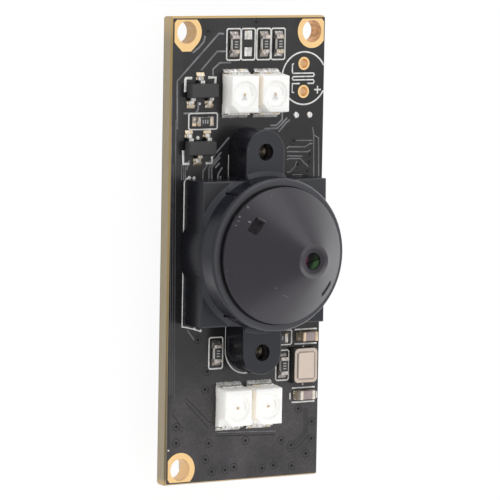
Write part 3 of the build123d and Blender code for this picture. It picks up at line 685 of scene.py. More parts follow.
def solder_finish():
    """Bright solder: darkened by the resistors as painted dark reflection, brown by the capacitors,
    tan at the transistors' leads and less metallic at the diodes."""
    look = looks()
    # Painted reflection: the solder by the resistors is darkened where it would reflect dark surroundings.
    zones = [((x, y), (size_x, size_y), look.solder_dark_reflection, TIN_METALLIC)
             for x, y, size_x, size_y in CHIP_OUTLINES if (x, y) != EMPTY_PLACE]
    for name, numbers, drop, size, tone, metallic in (
            ("capacitor_body", (1, 2), 0, (3.6, 3.6), shade(look.flux, 0.25), TIN_METALLIC),
            ("transistor_body", (1, 2), 0, (4.4, 4.4), look.transistor_solder, TIN_METALLIC),
            ("led_housing", (1, 2), 1.9, (3.6, 1.4), look.tin, 0.5),
            ("led_housing", (3, 4), 0, (3.4, 5.4), None, 0.3)):
        for number in numbers:
            x, y = middle(f"{name}_{number}")
            zones.append(((x, y - drop), size, tone, metallic))
    return tin_finish("solder", 0.24, 1.8, 0.6, zones=zones)


def resistor_end_finish():
    """End caps of the chip resistors."""
    return tin_finish("resistor_ends", 0.3, 3.0, 0.45, looks().resistor_end)


def capacitor_end_finish():
    """End caps of the two capacitors, the one below the crystal paler."""
    pale = (middle("capacitor_body_2"), (3.0, 3.0), looks().capacitor_end_pale, 0.7)
    return tin_finish("capacitor_ends", 0.34, 1.4, 0.75, looks().capacitor_end, (pale,))


def screw_finish():
    """Bronzed steel, brighter where it is rubbed. The tips in the ears carry painted shade with a painted
    highlight on the right flank.
    """
    finish = Finish("screw_steel", {"Metallic": 1.0})
    screw = looks().screw
    nx, ny, _ = finish.normal()
    rubbed = finish.noise(3.0, 4.0).step(0.5, 0.75)
    tip = finish.parts(finish.place())[2] > BOARD_FRONT
    # Painted shade and a painted highlight on the screw tips inside the ears.
    lit = nx.step(0.1, 0.5) * (1 - abs(ny).step(0.05, 0.4)) * (rubbed * 0.4 + 0.6)
    flank = finish.blend(lit, shade(screw, 0.2), shade(screw, 2.5))
    colour = finish.blend(tip, finish.blend(rubbed, shade(screw, 0.8), shade(screw, 1.7)), flank)
    return finish.done(colour=colour, metal=1 - tip * 0.85, rough=finish.noise(9.0) * 0.2 + 0.3)


def white_housing_finish():
    """White moulded diode housing with a soft painted glow, and painted shade low down and on the right
    diodes' inner wall.
    """
    finish = Finish("led_white", {**TRANSLUCENT, "Emission Strength": HOUSING_PAINTED_GLOW})
    look = looks()
    x, y, z = finish.parts(finish.place())
    cloud = finish.noise(1.0, 3.0)
    # Painted shade, uneven, low on the housing and on the right diodes' inner wall.
    low = 1 - (z - BOARD_FRONT).step(0.1, 1.3)
    foot = low * (finish.noise(1.5, 3.0).step(0.3, 0.65) * 0.5 + 0.1)
    inner_wall = (finish.normal()[0] < -0.5) * (abs(x - RIGHT_DIODE_WALL) < 0.3)
    painted_shade = (foot + inner_wall * 0.6).least(1.0)
    white = finish.blend(cloud, shade(look.housing, 0.95), look.housing)
    colour = finish.blend(painted_shade, white, look.housing_shadow)
    # Painted light: the housing glows though it is no lamp, less on the upper diodes.
    glow = finish.blend(y < 0, shade(look.housing_painted_glow, 0.65), look.housing_painted_glow)
    relief = finish.bump(cloud, 0.02, 0.3)
    return finish.done(colour=colour, rough=cloud * 0.15 + 0.32, bump=relief, glow=glow)


def resin_finish():
    """Clear diode resin over a white cup: smooth with a soft swirl and a painted glow."""
    lit = {"Emission Color": looks().housing_painted_glow, "Emission Strength": RESIN_PAINTED_GLOW}
    finish = Finish("led_resin", {**TRANSLUCENT, **lit})
    swirl = finish.noise(2.6, 3.0)
    colour = finish.blend(swirl.step(0.45, 0.65), shade(looks().housing, 1.05), shade(looks().housing, 0.97))
    return finish.done(colour=colour, rough=swirl * 0.1 + 0.3, bump=finish.bump(swirl, 0.03, 0.4))


def package_finish():
    """Dark grey moulding compound with fine grain."""
    finish = Finish("package_black", {"IOR": 1.5})
    grain = finish.noise(20.0, 3.0)
    colour = finish.blend(grain, shade(looks().package, 0.8), shade(looks().package, 1.25))
    rough = grain * 0.15 + finish.noise(0.9, 4.0) * 0.15 + 0.42
    return finish.done(colour=colour, rough=rough, bump=finish.bump(grain, 0.008, 0.7))


def resistor_finish():
    """Black glazed film on top, pale ceramic along the sides."""
    finish = Finish("resistor_black", {"IOR": 1.5})
    top = abs(finish.normal()[2]) > 0.6
    cloud = finish.noise(3.0, 3.0)
    ceramic = finish.blend(cloud, CERAMIC_DARK, CERAMIC_PALE)
    film = finish.blend(cloud, shade(looks().package, 0.5), looks().package)
    relief = finish.bump(cloud, 0.01, 0.4)
    return finish.done(colour=finish.blend(top, ceramic, film), rough=cloud * 0.15 + 0.25, bump=relief)


def lid_finish():
    """Rolled crystal lid: warm satin metal with fine lines along it and a darker border."""
    finish = Finish("crystal_lid_metal", {"Metallic": 0.85})
    lid = looks().lid
    x, y, _ = finish.parts(finish.place())
    low, high = corners("crystal_lid")
    edge_x = abs(x - (low.x + high.x) / 2) - (high.x - low.x) / 2
    edge_y = abs(y - (low.y + high.y) / 2) - (high.y - low.y) / 2
    border = edge_x.most(edge_y).step(-0.36, -0.26)
    rolled = finish.noise(2.4, 3.0, (9, 0.5, 1))
    cloud = finish.noise(0.8, 3.0)
    panel = finish.blend(cloud, shade(lid, 0.9), shade(lid, 1.08))
    colour = finish.blend(border * 0.4, panel, shade(lid, 0.7))
    rough = rolled * 0.12 + cloud * 0.1 + 0.3
    return finish.done(colour=colour, rough=rough, bump=finish.bump(rolled, 0.004, 0.4))


def glass_finish():
    """Coated lens glass: nearly black inside, with the coating's green and magenta reflection painted on and
    a band of painted shadow.
    """
    finish = Finish("element_glass", {"IOR": 1.12})
    x, y, _ = finish.parts(finish.place())
    # Painted reflection of the coating in green and magenta, and a dark band of painted shadow.
    across = y - x * 0.3
    green = (x * 0.8 - y * 0.3).step(-0.1, 0.3) * (1 - across.step(-0.15, 0.05) * 0.7)
    magenta = 1 - (x * 0.9 - y * 0.1).step(-0.6, -0.3)
    shadow = 1 - abs(across + 0.02).step(0.03, 0.14)
    colour = finish.layered(
        GLASS_DARK,
        (green, looks().green_coating_reflection),
        (magenta, looks().magenta_coating_reflection),
        (shadow * 0.8, GLASS_SHADOW))
    return finish.done(colour=colour, rough=finish.noise(2.0) * 0.02 + 0.05)


def clouded_finish(name):
    """One of the plain finishes: two tones clouded together, and a fine relief where it has a grain."""
    look = looks()
    # Fixed sockets, dark and pale tone, the clouds' noise, the roughness and its spread, the grain's scale
    fixed, dark, pale, clouds, rough, spread, grain = {
        "sunk_mask": ({"IOR": 1.5}, shade(look.mask, 0.2), shade(look.mask, 0.6), (1.2,), 0.45, 0.2, None),
        "die_gold": ({"Metallic": 0.6}, shade(look.die, 0.6), shade(look.die, 1.2), (9.0,), 0.3, 0.2, None),
        "capacitor_ceramic": (
            {"IOR": 1.5}, shade(look.capacitor, 0.85), shade(look.capacitor, 1.15), (2.0,), 0.45, 0.2, 14.0),
        "crystal_ceramic": (
            {"IOR": 1.5}, shade(look.crystal_base, 0.8), shade(look.crystal_base, 1.2), (15.0,), 0.45, 0.2,
            15.0),
        "sensor_ceramic": (
            {"IOR": 1.5}, shade(look.package, 0.8), shade(look.package, 1.2), (15.0,), 0.45, 0.2, 15.0),
        "filter_glass": (
            {"IOR": 1.5, "Coat Weight": 1.0}, (0.25, 0.5, 0.48, 1.0), (0.4, 0.6, 0.62, 1.0), (0.5,), 0.04,
            0.04, None),
        "black_ring": (
            {"Metallic": 0.5}, (0.01, 0.01, 0.01, 1.0), (0.03, 0.03, 0.032, 1.0), (4.0, 3.0, (1, 1, 8)), 0.4,
            0.2, None),
        "socket_nylon": (
            {"IOR": 1.53, "Subsurface Weight": 0.15, "Subsurface Scale": 0.5 * MM}, shade(look.socket, 0.9),
            look.socket, (0.8, 4.0), 0.35, 0.15, 15.0),
        "via_mouth": (
            {"IOR": 1.4}, (0.002, 0.002, 0.002, 1.0), (0.008, 0.008, 0.009, 1.0), (6.0,), 0.6, 0.2, None),
        "lead_gap_and_crescent_shade": ({"IOR": 1.45}, (0.62, 0.61, 0.6, 1.0), (0.8, 0.79, 0.78, 1.0), (3.0,), 0.4, 0.2, None),
        "lid_slope_shade": ({"Metallic": 0.8}, shade(look.lid, 0.3), shade(look.lid, 0.55), (2.5,), 0.4, 0.2, None),
        "chip_mark": ({"IOR": 1.45}, shade(look.ink, 0.35), shade(look.ink, 0.7), (5.0,), 0.5, 0.2, None),
    }[name]
    finish = Finish(name, fixed)
    cloud = finish.noise(*clouds)
    colour = finish.blend(cloud, dark, pale)
    if grain is None:
        return finish.done(colour=colour, rough=cloud * spread + rough)
    fine = finish.noise(grain)
    return finish.done(colour=colour, rough=fine * spread + rough, bump=finish.bump(fine, 0.006, 0.5))


FINISHES = {
    "board_mask": mask_finish,
    "board_print": print_finish,
    "raised_mask": trace_finish,
    "gold_plating": gold_finish,
    "holder_plastic": holder_finish,
    "screw_steel": screw_finish,
    "barrel_plastic": barrel_finish,
    "element_glass": glass_finish,
    "led_white": white_housing_finish,
    "led_resin": resin_finish,
    "tinned_metal": tin_finish,
    "solder": solder_finish,
    "capacitor_ends": capacitor_end_finish,
    "resistor_ends": resistor_end_finish,
    "package_black": package_finish,
    "resistor_black": resistor_finish,
    "crystal_lid_metal": lid_finish,
}


@cache
def finish_named(name):
    """The material of this name, made the first time it is asked for."""
    if name in FINISHES:
        return FINISHES[name]()
    return clouded_finish(name)


# Modelling steps
def start_clean():
    """Object mode with nothing selected, before an operator acts."""
    if bpy.context.mode != "OBJECT":
        bpy.ops.object.mode_set(mode="OBJECT")
    bpy.ops.object.select_all(action="DESELECT")


def choose(piece):
    start_clean()
    piece.select_set(True)
    bpy.context.view_layer.objects.active = piece


def editing(piece):
    choose(piece)
    bpy.ops.object.mode_set(mode="EDIT")


def metres(x, y, z):
    """A place given in millimetres."""
    return x * MM, y * MM, z * MM


def settled(scale=(1, 1, 1)):
    """The object just added, scaled, with its place, turn and scale in its mesh."""
    piece = bpy.context.object
    piece.scale = scale
    bpy.ops.object.transform_apply(location=True, rotation=True, scale=True)
    return piece


def add_modifier(piece, kind, **settings):
    """Adds a modifier and applies it at once."""
    modifier = piece.modifiers.new(kind.title(), kind)
    for name, value in settings.items():
        setattr(modifier, name, value)
    choose(piece)
    bpy.ops.object.modifier_apply(modifier=modifier.name)


def smooth(piece, angle):
    """Shades smooth across edges that turn by less than an angle in degrees."""
    choose(piece)
    bpy.ops.object.shade_smooth_by_angle(angle=radians(angle))


def round_edges(piece, width, segments=2):
    """Rounds the sharp edges by a width in millimetres and keeps the flats flat."""
    add_modifier(
        piece, "BEVEL", width=width * MM, segments=segments, limit_method="ANGLE",
        angle_limit=radians(SHARP_ANGLE), use_clamp_overlap=False,
    )
    smooth(piece, 50)
    add_modifier(piece, "WEIGHTED_NORMAL", keep_sharp=True, weight=80)


def dress(piece, material):
    """Gives a piece one finish."""
    piece.data.materials.clear()
    piece.data.materials.append(finish_named(material))


def finished(piece, name, slot, material=None, replaced=()):
    """Names a piece, settles its place in its mesh, gives it its finish and lets it ride on the body."""
    choose(piece)
    bpy.ops.object.transform_apply(location=True, rotation=True, scale=True)
    piece.name = name
    piece.data.name = name
    dress(piece, material or slot)
    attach(piece, "root")
    if replaced:
        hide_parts(*replaced)
    return piece


def copy_of(node):
    """A merged copy of a CAD node's mesh with its flat faces whole."""
    start_clean()
    piece = bpy.data.objects.new(node, frame["nodes"][node].data.copy())
    bpy.context.scene.collection.objects.link(piece)
    editing(piece)
    bpy.ops.mesh.select_all(action="SELECT")
    bpy.ops.mesh.customdata_custom_splitnormals_clear()
    bpy.ops.mesh.remove_doubles(threshold=MERGE_DISTANCE * MM)
    bpy.ops.mesh.dissolve_limited(angle_limit=radians(0.5), delimit={"NORMAL"})
    start_clean()
    return piece


def softened(node, share, slot, segments=2, material=None):
    """Stands a copy in for a CAD node, its edges rounded by a share of the edge setting."""
    piece = copy_of(node)
    round_edges(piece, sizes().edge * share, segments)
    return finished(piece, f"{node}_moulded", slot, material, (node,))


def lathe(profile, steps):
    """Turns a closed outline of (radius, height) points in millimetres into a solid about Z."""
    start_clean()
    first_r, first_z = profile[0]
    bpy.ops.mesh.primitive_plane_add(size=MM, location=metres(first_r, 0, first_z))
    piece = bpy.context.object
    bpy.ops.object.mode_set(mode="EDIT")
    bpy.ops.mesh.merge(type="CENTER")
    for (r0, z0), (r1, z1) in zip(profile, profile[1:]):
        move = metres(r1 - r0, 0, z1 - z0)
        bpy.ops.mesh.extrude_region_move(TRANSFORM_OT_translate={"value": move})
    bpy.ops.mesh.select_all(action="SELECT")
    bpy.ops.mesh.spin(steps=steps, angle=2 * pi, center=(0, 0, 0), axis=(0, 0, 1))
    bpy.ops.mesh.select_all(action="SELECT")
    bpy.ops.mesh.remove_doubles(threshold=MERGE_DISTANCE * MM)
    bpy.ops.mesh.normals_make_consistent(inside=False)
    start_clean()
    return piece


def drawn_lines(lines, width, height, level):
    """Low rounded lines on a face: bars along the points, pressed flat at a level, in millimetres."""
    start_clean()
    curve = bpy.data.curves.new("lines", "CURVE")
    curve.dimensions = "3D"
    curve.bevel_depth = width / 2 * MM
    curve.bevel_resolution = 2
    curve.use_fill_caps = True
    for points in lines:
        closed = points[0] == points[-1]
        places = points[:-1] if closed else points
        spline = curve.splines.new("POLY")
        spline.points.add(len(places) - 1)
        spline.use_cyclic_u = closed
        for point, (x, y) in zip(spline.points, places):
            point.co = (*metres(x, y, 0), 1)
    piece = bpy.data.objects.new("lines", curve)
    bpy.context.scene.collection.objects.link(piece)
    choose(piece)
    bpy.ops.object.convert(target="MESH")
    bpy.context.object.location = metres(0, 0, level)
    piece = settled((1, 1, height / width))
    smooth(piece, 60)
    return piece


def arc(centre, radius, start, end, count):
    """Points along an arc in degrees."""
    steps = [radians(start + (end - start) * number / count) for number in range(count + 1)]
    return [(centre[0] + radius * cos(angle), centre[1] + radius * sin(angle)) for angle in steps]


def circle(centre, radius, count):
    """A closed circle of points."""
    points = arc(centre, radius, 0, 360, count)[:-1]
    return points + points[:1]


def rounded_box(centre_x, centre_y, size_x, size_y, corner=0.12):
    """A closed rectangle with its corners cut."""
    points = []
    for side_x, side_y in ((1, 1), (-1, 1), (-1, -1), (1, -1)):
        x = centre_x + side_x * size_x / 2
        y = centre_y + side_y * size_y / 2
        near = [(x - side_x * corner, y), (x, y - side_y * corner)]
        points += near[::-1] if side_x * side_y > 0 else near
    return points + points[:1]


def joined(pieces):
    """Several pieces made one."""
    start_clean()
    for piece in pieces:
        piece.select_set(True)
    bpy.context.view_layer.objects.active = pieces[0]
    bpy.ops.object.join()
    return bpy.context.object


def low_dots(places, level, height):
    """Low domes on a face, each place giving x, y and radius."""
    dots = []
    for x, y, radius in places:
        start_clean()
        bpy.ops.mesh.primitive_uv_sphere_add(
            segments=DOT_SIDES, ring_count=DOT_SIDES // 2, radius=radius * MM, location=metres(x, y, level))
        dots.append(settled((1, 1, height / radius)))
    piece = joined(dots)
    smooth(piece, 60)
    return piece


# Settings that a user would change
def tint(name, description, colour):
    """A colour setting."""
    return FloatVectorProperty(
        name=name, description=description, subtype="COLOR", size=4, default=(*colour, 1.0), min=0.0, max=1.0)


def length(name, description, default, least):
    """A length setting in millimetres."""
    return FloatProperty(name=name, description=f"{description} in millimetres", default=default, min=least)


class BoardCameraLooks(bpy.types.PropertyGroup):
    """Colours and gloss of the finishes."""

    mask: tint("Solder mask", "Black mask on the board", (0.016, 0.0155, 0.0175))
    # Painted light: the paler mask stands in for light towards the board's ends.
    mask_painted_light: tint(
        "Solder mask, pale", "Where the mask is thin, towards the board's ends", (0.095, 0.0865, 0.092))
    copper_mask: tint("Mask on copper", "Mask lifted by the copper lines", (0.21, 0.21, 0.225))
    # Also gives the painted light on the board's end faces.
    laminate_end: tint("Laminate ends", "Broken ends of the laminate", (0.8, 0.55, 0.25))
    laminate: tint("Laminate", "Bare fibre board at the edges", (0.35, 0.325, 0.27))
    laminate_band: tint("Laminate band", "Resin rich layer near the front", (0.38, 0.245, 0.05))
    ink: tint("Print", "White ink on the board", (0.8, 0.8, 0.78))
    gold: tint("Gold", "Plated pads and holes", (1.0, 0.66, 0.32))
    gold_wall: tint("Gold walls", "Plating down the holes", (0.95, 0.62, 0.31))
    gold_streak: tint("Gold wall, bright", "Bright streaks down the holes", (1.0, 0.73, 0.46))
    # The browner walls of the top right hole.
    gold_brown: tint("Gold wall, brown", "Stained plating in the top right hole", (0.66, 0.36, 0.17))
    holder: tint("Holder plastic", "Moulded lens holder", (0.0105, 0.011, 0.016))
    # Painted light: this tone gives the holder rim's highlight, the lit base, the sheen and the lit pocket.
    holder_painted_light: tint("Holder rim", "Rubbed rim of the lens holder", (0.05, 0.05, 0.056))
    barrel: tint("Barrel plastic", "Lens barrel and cone", (0.0115, 0.0099, 0.0153))
    # Painted shade: besides their rough moulding, the pockets' dark tone stands in for their shade.
    pocket: tint("Spanner pockets", "Rough moulding in the barrel's pockets", (0.016, 0.012, 0.01))
    barrel_roughness: FloatProperty(
        name="Barrel roughness", description="How dull the cone is", default=0.32, min=0.0, max=1.0,
        subtype="FACTOR")
    tin: tint("Tin", "Solder and tinned metal", (0.9, 0.89, 0.87))
    flux: tint("Flux", "Amber film on the solder", (0.8, 0.66, 0.45))
    # Painted dark reflection on the solder beside the chip resistors.
    solder_dark_reflection: tint("Dull solder", "Solder beside the chip resistors", (0.34, 0.3, 0.28))
    transistor_solder: tint("Transistor solder", "Solder at the transistors' leads", (0.84, 0.7, 0.52))
    resistor_end: tint("Resistor ends", "End caps of the chip resistors", (0.66, 0.61, 0.58))
    capacitor_end: tint("Capacitor ends", "End caps of the capacitors", (0.78, 0.62, 0.45))
    capacitor_end_pale: tint(
        "Capacitor ends, pale", "End caps of the capacitor below the crystal", (0.8, 0.74, 0.66))
    screw: tint("Screws", "Bronzed holder screws", (0.4, 0.34, 0.26))
    housing: tint("Diode housing", "White moulded housing", (0.93, 0.922, 0.89))
    # Painted light: the diode plastics glow though they are no lamp.
    housing_painted_glow: tint("Diode glow", "Light that the white plastics pass on", (1.0, 0.985, 0.94))
    housing_shadow: tint("Diode housing foot", "Warm tone low on the housing", (0.76, 0.65, 0.52))
    die: tint("Diode die", "Die and its bond", (0.7, 0.55, 0.36))
    package: tint("Chip packages", "Moulding compound", (0.038, 0.037, 0.039))
    capacitor: tint("Capacitors", "Fired ceramic", (0.36, 0.28, 0.28))
    crystal_base: tint("Crystal base", "Dark ceramic under the lid", (0.03, 0.027, 0.025))
    lid: tint("Crystal lid", "Warm plated metal", (0.7, 0.59, 0.51))
    # Painted reflection: the coating's colours, seen only as reflection on the dark glass.
    green_coating_reflection: tint("Coating green", "Green bloom on the lens", (0.035, 0.075, 0.03))
    magenta_coating_reflection: tint("Coating magenta", "Magenta bloom on the lens", (0.09, 0.02, 0.055))
    socket: tint("Socket nylon", "Socket on the back", (0.78, 0.74, 0.62))


class BoardCameraSizes(bpy.types.PropertyGroup):
    """Sizes of what is drawn and rounded, in millimetres."""

    print_width: length("Print width", "Width of a printed line", 0.14, 0.05)
    print_height: length("Print height", "Thickness of the ink", 0.07, 0.005)
    copper_width: length("Copper width", "Width of a copper line", 0.17, 0.05)
    copper_height: length("Copper height", "Lift of the mask over copper", 0.05, 0.005)
    via_radius: length("Via radius", "Radius of a via's ring", 0.36, 0.05)
    via_mouth: length("Via mouth", "Radius of a via's dark mouth", 0.15, 0.02)
    cup_depth: length("Cup depth", "Depth of the diodes' cups", 0.15, 0.05)
    solder_grain: length("Solder grain", "Cell size of the solder's mesh", 0.05, 0.02)
    solder_lumps: length("Solder lumps", "Unevenness of the solder", 0.09, 0.0)
    edge: length("Edge rounding", "Rounding of moulded edges", 0.05, 0.0)
    turned_steps: IntProperty(
        name="Turned steps", description="Steps round a turned piece", default=160, min=24)


class StudioSettings(bpy.types.PropertyGroup):
    """Camera and lamps."""

    camera_place: FloatVectorProperty(
        name="Camera place", description="Where the camera stands", subtype="TRANSLATION", size=3,
        default=(-0.19197, 0.03597, 0.31105))
    camera_turn: FloatVectorProperty(
        name="Camera turn", description="How the camera is turned", subtype="EULER", size=3,
        default=(radians(-6.3209), radians(-32.0148), radians(1.1947)))
    focal_length: FloatProperty(
        name="Focal length", description="Lens length for a 36 mm wide sensor", default=290.66, min=10.0)
    world_strength: FloatProperty(
        name="Surround", description="Strength of the white surround", default=0.94, min=0.0)
    upper_power: FloatProperty(
        name="Upper lamp", description="Power of the lamp past the board's upper end", default=0.44, min=0.0)
    lower_power: FloatProperty(
        name="Lower lamp", description="Power of the lamp past the board's lower end", default=0.18, min=0.0)
    right_power: FloatProperty(
        name="Right lamp", description="Power of the lamp on the right", default=0.15, min=0.0)


# Operators, one for each group of like pieces
class FinishNodes(bpy.types.Operator):
    """Give every solid its finish"""

    bl_idname = "board_camera.finish_nodes"
    bl_label = "Finish the solids"

    def execute(self, context):
        for row in frame["record"]["subparts"]:
            dress(frame["nodes"][row["node"]], row["material_slot"])
        return {"FINISHED"}


class PrintLines(bpy.types.Operator):
    """Print the white outlines and dots on both faces of the board"""

    bl_idname = "board_camera.print_lines"
    bl_label = "Board print"

    def execute(self, context):
        width = sizes().print_width
        height = sizes().print_height
        ear = EAR_OUTLINE_START + arc(EAR_OUTLINE_CENTRE, EAR_OUTLINE_R, *EAR_OUTLINE_ARC)[1:]
        ring = arc(MIC_CENTRE, MIC_OUTLINE_R, *MIC_OUTLINE_ARC)
        plus_x, plus_y = PLUS_CENTRE
        plus = [
            [(plus_x - PLUS_ARM, plus_y), (plus_x + PLUS_ARM, plus_y)],
            [(plus_x, plus_y - PLUS_ARM), (plus_x, plus_y + PLUS_ARM)],
        ]
        for name, lines, share in (
                ("chip_outline_print", [rounded_box(*outline) for outline in CHIP_OUTLINES], 1.0),
                ("holder_outline_print", HOLDER_MARKS + [ear], 1.0),
                ("transistor_outline_print", TRANSISTOR_MARKS, BOLD_SHARE),
                ("microphone_print", [ring] + MIC_SYMBOL + plus, 1.0)):
            piece = drawn_lines(lines, width * share, height, BOARD_FRONT)
            finished(piece, name, "board_mask", "board_print")
        piece = low_dots(PRINTED_DOTS + HOLDER_MARK_DOTS, BOARD_FRONT, height)
        finished(piece, "dot_print", "board_mask", "board_print")
        piece = drawn_lines([rounded_box(*outline) for outline in BACK_OUTLINES], width, height, BOARD_BACK)
        dots = low_dots(BACK_DOTS, BOARD_BACK, height)
        finished(joined([piece, dots]), "back_print", "board_mask", "board_print")
        return {"FINISHED"}


class CopperLines(bpy.types.Operator):
    """Raise the mask over copper lines and vias"""

    bl_idname = "board_camera.copper_lines"
    bl_label = "Copper lines"

    def execute(self, context):
        lift = sizes().copper_height
        for name, lines, share, height, level, look in (
                ("copper_lines", COPPER_LINES, 1.0, lift, BOARD_FRONT, "raised_mask"),
                ("thin_copper_lines", THIN_LINES, THIN_LINE_SHARE, lift, BOARD_FRONT, "raised_mask"),
                ("fine_copper_lines", FINE_LINES, FINE_LINE_SHARE, lift, BOARD_FRONT, "raised_mask"),
                ("copper_gaps", COPPER_GAPS, FINE_LINE_SHARE, FLAT_HEIGHT, BOARD_FRONT, "sunk_mask"),
                ("back_copper_lines", BACK_LINES, 1.0, lift, BOARD_BACK, "raised_mask")):
            piece = drawn_lines(lines, sizes().copper_width * share, height, level)
            finished(piece, name, "board_mask", look)
        self.add_vias("via", BOARD_FRONT)
        self.add_vias("back_via", BOARD_BACK)
        return {"FINISHED"}

    def add_vias(self, name, level):
        """The filled vias on one face: a faint ring and a dark mouth each."""
        rings = []
        for x, y in VIAS:
            start_clean()
            bpy.ops.mesh.primitive_torus_add(
                location=metres(x, y, level), major_segments=24, minor_segments=8,
                major_radius=sizes().via_radius * MM, minor_radius=VIA_RING_TUBE * MM)
            rings.append(settled((1, 1, VIA_RING_FLATNESS)))
        piece = joined(rings)
        smooth(piece, 60)
        finished(piece, f"{name}_rings", "board_mask", "sunk_mask")
        mouths = [(x, y, sizes().via_mouth) for x, y in VIAS]
        finished(low_dots(mouths, level, FLAT_HEIGHT), f"{name}_mouths", "board_mask", "via_mouth")


class Holder(bpy.types.Operator):
    """Soften the lens holder's edges and draw its ejector mark and a dark ring of painted shadow in the gap
    round the flange
    """

    bl_idname = "board_camera.holder"
    bl_label = "Lens holder"

    def execute(self, context):
        softened("lens_holder", 1.0, "holder_plastic")
        ring = circle(EJECTOR_MARK, EJECTOR_MARK_R, 24)
        piece = drawn_lines([ring], THIN_MARK_WIDTH, THIN_MARK_HEIGHT, BASE_TOP)
        finished(piece, "ejector_mark", "holder_plastic")
        # Painted shadow: a dark ring where the gap under the flange is in shade.
        gap = circle((0, 0), FLANGE_R + FLANGE_GAP, 96)
        piece = drawn_lines([gap], FLANGE_GAP_WIDTH, FLAT_HEIGHT, HOLDER_TOP)
        finished(piece, "flange_gap_shadow", "holder_plastic", "via_mouth")
        return {"FINISHED"}


class LensBarrel(bpy.types.Operator):
    """Turn the lens barrel with its cone and cut the two spanner pockets"""

    bl_idname = "board_camera.lens_barrel"
    bl_label = "Lens barrel"

    def execute(self, context):
        outline = BARREL_FLANGE + self.cone_rings() + BARREL_TIP
        profile = [(radius, BOARD_FRONT + height) for radius, height in outline]
        piece = lathe(profile + profile[:1], sizes().turned_steps)
        for turn in (POCKET_ANGLE, POCKET_ANGLE + 180):
            self.cut_pocket(piece, radians(turn))
        editing(piece)
        bpy.ops.mesh.customdata_custom_splitnormals_clear()
        smooth(piece, 32)
        finished(piece, "lens_barrel_turned", "barrel_plastic", replaced=("lens_barrel",))
        self.add_front_glass()
        return {"FINISHED"}

    def cone_rings(self):
        """Points down the cone, so that its faces stay short."""
        foot_r, foot_z = BARREL_FLANGE[-1]
        top_r, top_z = BARREL_TIP[0]
        slope = (top_z - foot_z) / (foot_r - top_r)
        return [(radius, foot_z + (foot_r - radius) * slope) for radius in CONE_RING_RADII]

    def cut_pocket(self, piece, turn):
        """Cuts one pocket straight down to its floor, turned from the X axis."""
        start_clean()
        height = BOARD_FRONT + POCKET_FLOOR + POCKET_CUT / 2
        place = metres(POCKET_R * cos(turn), POCKET_R * sin(turn), height)
        bpy.ops.mesh.primitive_cube_add(size=MM, location=place, rotation=(0, 0, turn))
        cutter = settled((POCKET_LENGTH, POCKET_WIDTH, POCKET_CUT))
        add_modifier(cutter, "BEVEL", width=POCKET_CORNER * MM, segments=2, limit_method="ANGLE")
        add_modifier(piece, "BOOLEAN", operation="DIFFERENCE", object=cutter, solver="EXACT")
        choose(cutter)
        bpy.ops.object.delete()

    def add_front_glass(self):
        """The domed glass close behind the pinhole."""
        top = BOARD_FRONT + GLASS_TOP
        profile = [(0, top - GLASS_THICKNESS), (GLASS_R, top - GLASS_THICKNESS), (GLASS_R, top)]
        for step in range(GLASS_DOME_STEPS):
            share = 1 - step / GLASS_DOME_STEPS
            profile.append((GLASS_DOME_R * share, top + GLASS_DOME * (1 - share ** 2)))
        profile.append((0, top + GLASS_DOME))
        piece = lathe(profile, SMALL_TURN_STEPS)
        smooth(piece, 40)
        finished(piece, "front_glass", "element_glass", replaced=("front_lens_element",))


class Diodes(bpy.types.Operator):
    """Soften the diode housings, open their cups to the die and draw a crescent of painted shade in each cup
    """

    bl_idname = "board_camera.diodes"
    bl_label = "Diodes"

    def execute(self, context):
        dies = []
        gaps_and_crescent_shades = []
        for number in range(1, 5):
            softened(f"led_housing_{number}", 1.2, "led_white", 3)
            low, high = corners(f"led_resin_{number}")
            centre = middle(f"led_resin_{number}")
            radius = (high.x - low.x) / 2
            floor = high.z - sizes().cup_depth
            self.add_cup(number, centre, radius, floor, high.z)
            dies.append(self.add_die(centre, floor))
            if centre[1] > 0:
                gaps_and_crescent_shades.append(self.add_lead_gap(centre, floor))
            # A grey crescent of painted shade on the cup's floor.
            shadow = arc(centre, radius * CRESCENT_SHARE, *CRESCENT_ARC)
            gaps_and_crescent_shades.append(drawn_lines([shadow], THIN_MARK_WIDTH, THIN_MARK_HEIGHT, floor + CRESCENT_RISE))
        finished(joined(dies), "diode_dies", "die_gold", replaced=("led_dies",))
        finished(joined(gaps_and_crescent_shades), "diode_lead_gaps_and_crescent_shades", "led_resin", "lead_gap_and_crescent_shade")
        return {"FINISHED"}

    def add_cup(self, number, centre, radius, floor, top):
        """The resin's dished face: a flat floor, a low step round it and a sloped wall."""
        profile = [(radius * share, floor + rise) for share, rise in CUP_STEPS]
        profile += [
            (radius * CUP_WALL_SHARE, top - CUP_WALL_DROP), (radius, top),
            (radius, floor - CUP_BODY), (0, floor - CUP_BODY),
        ]
        piece = lathe(profile, SMALL_TURN_STEPS)
        piece.location.xy = centre[0] * MM, centre[1] * MM
        smooth(piece, 40)
        finished(piece, f"diode_cup_{number}", "led_resin", replaced=(f"led_resin_{number}",))

    def add_die(self, centre, floor):
        """A small soft block on the cup's floor."""
        start_clean()
        bpy.ops.mesh.primitive_cube_add(size=DIE_SIZE * MM, location=metres(*centre, floor + DIE_RISE))
        die = settled((1, 1, DIE_HEIGHT_SHARE))
        round_edges(die, DIE_EDGE)
        return die

    def add_lead_gap(self, centre, floor):
        """The grey notch between the two leads under the resin of an upper diode."""
        start_clean()
        place = metres(centre[0], centre[1] - LEAD_GAP_DROP, floor + LEAD_GAP_RISE)
        bpy.ops.mesh.primitive_cylinder_add(
            vertices=3, radius=LEAD_GAP_R * MM, depth=FLAT_HEIGHT * MM, location=place)
        return settled()


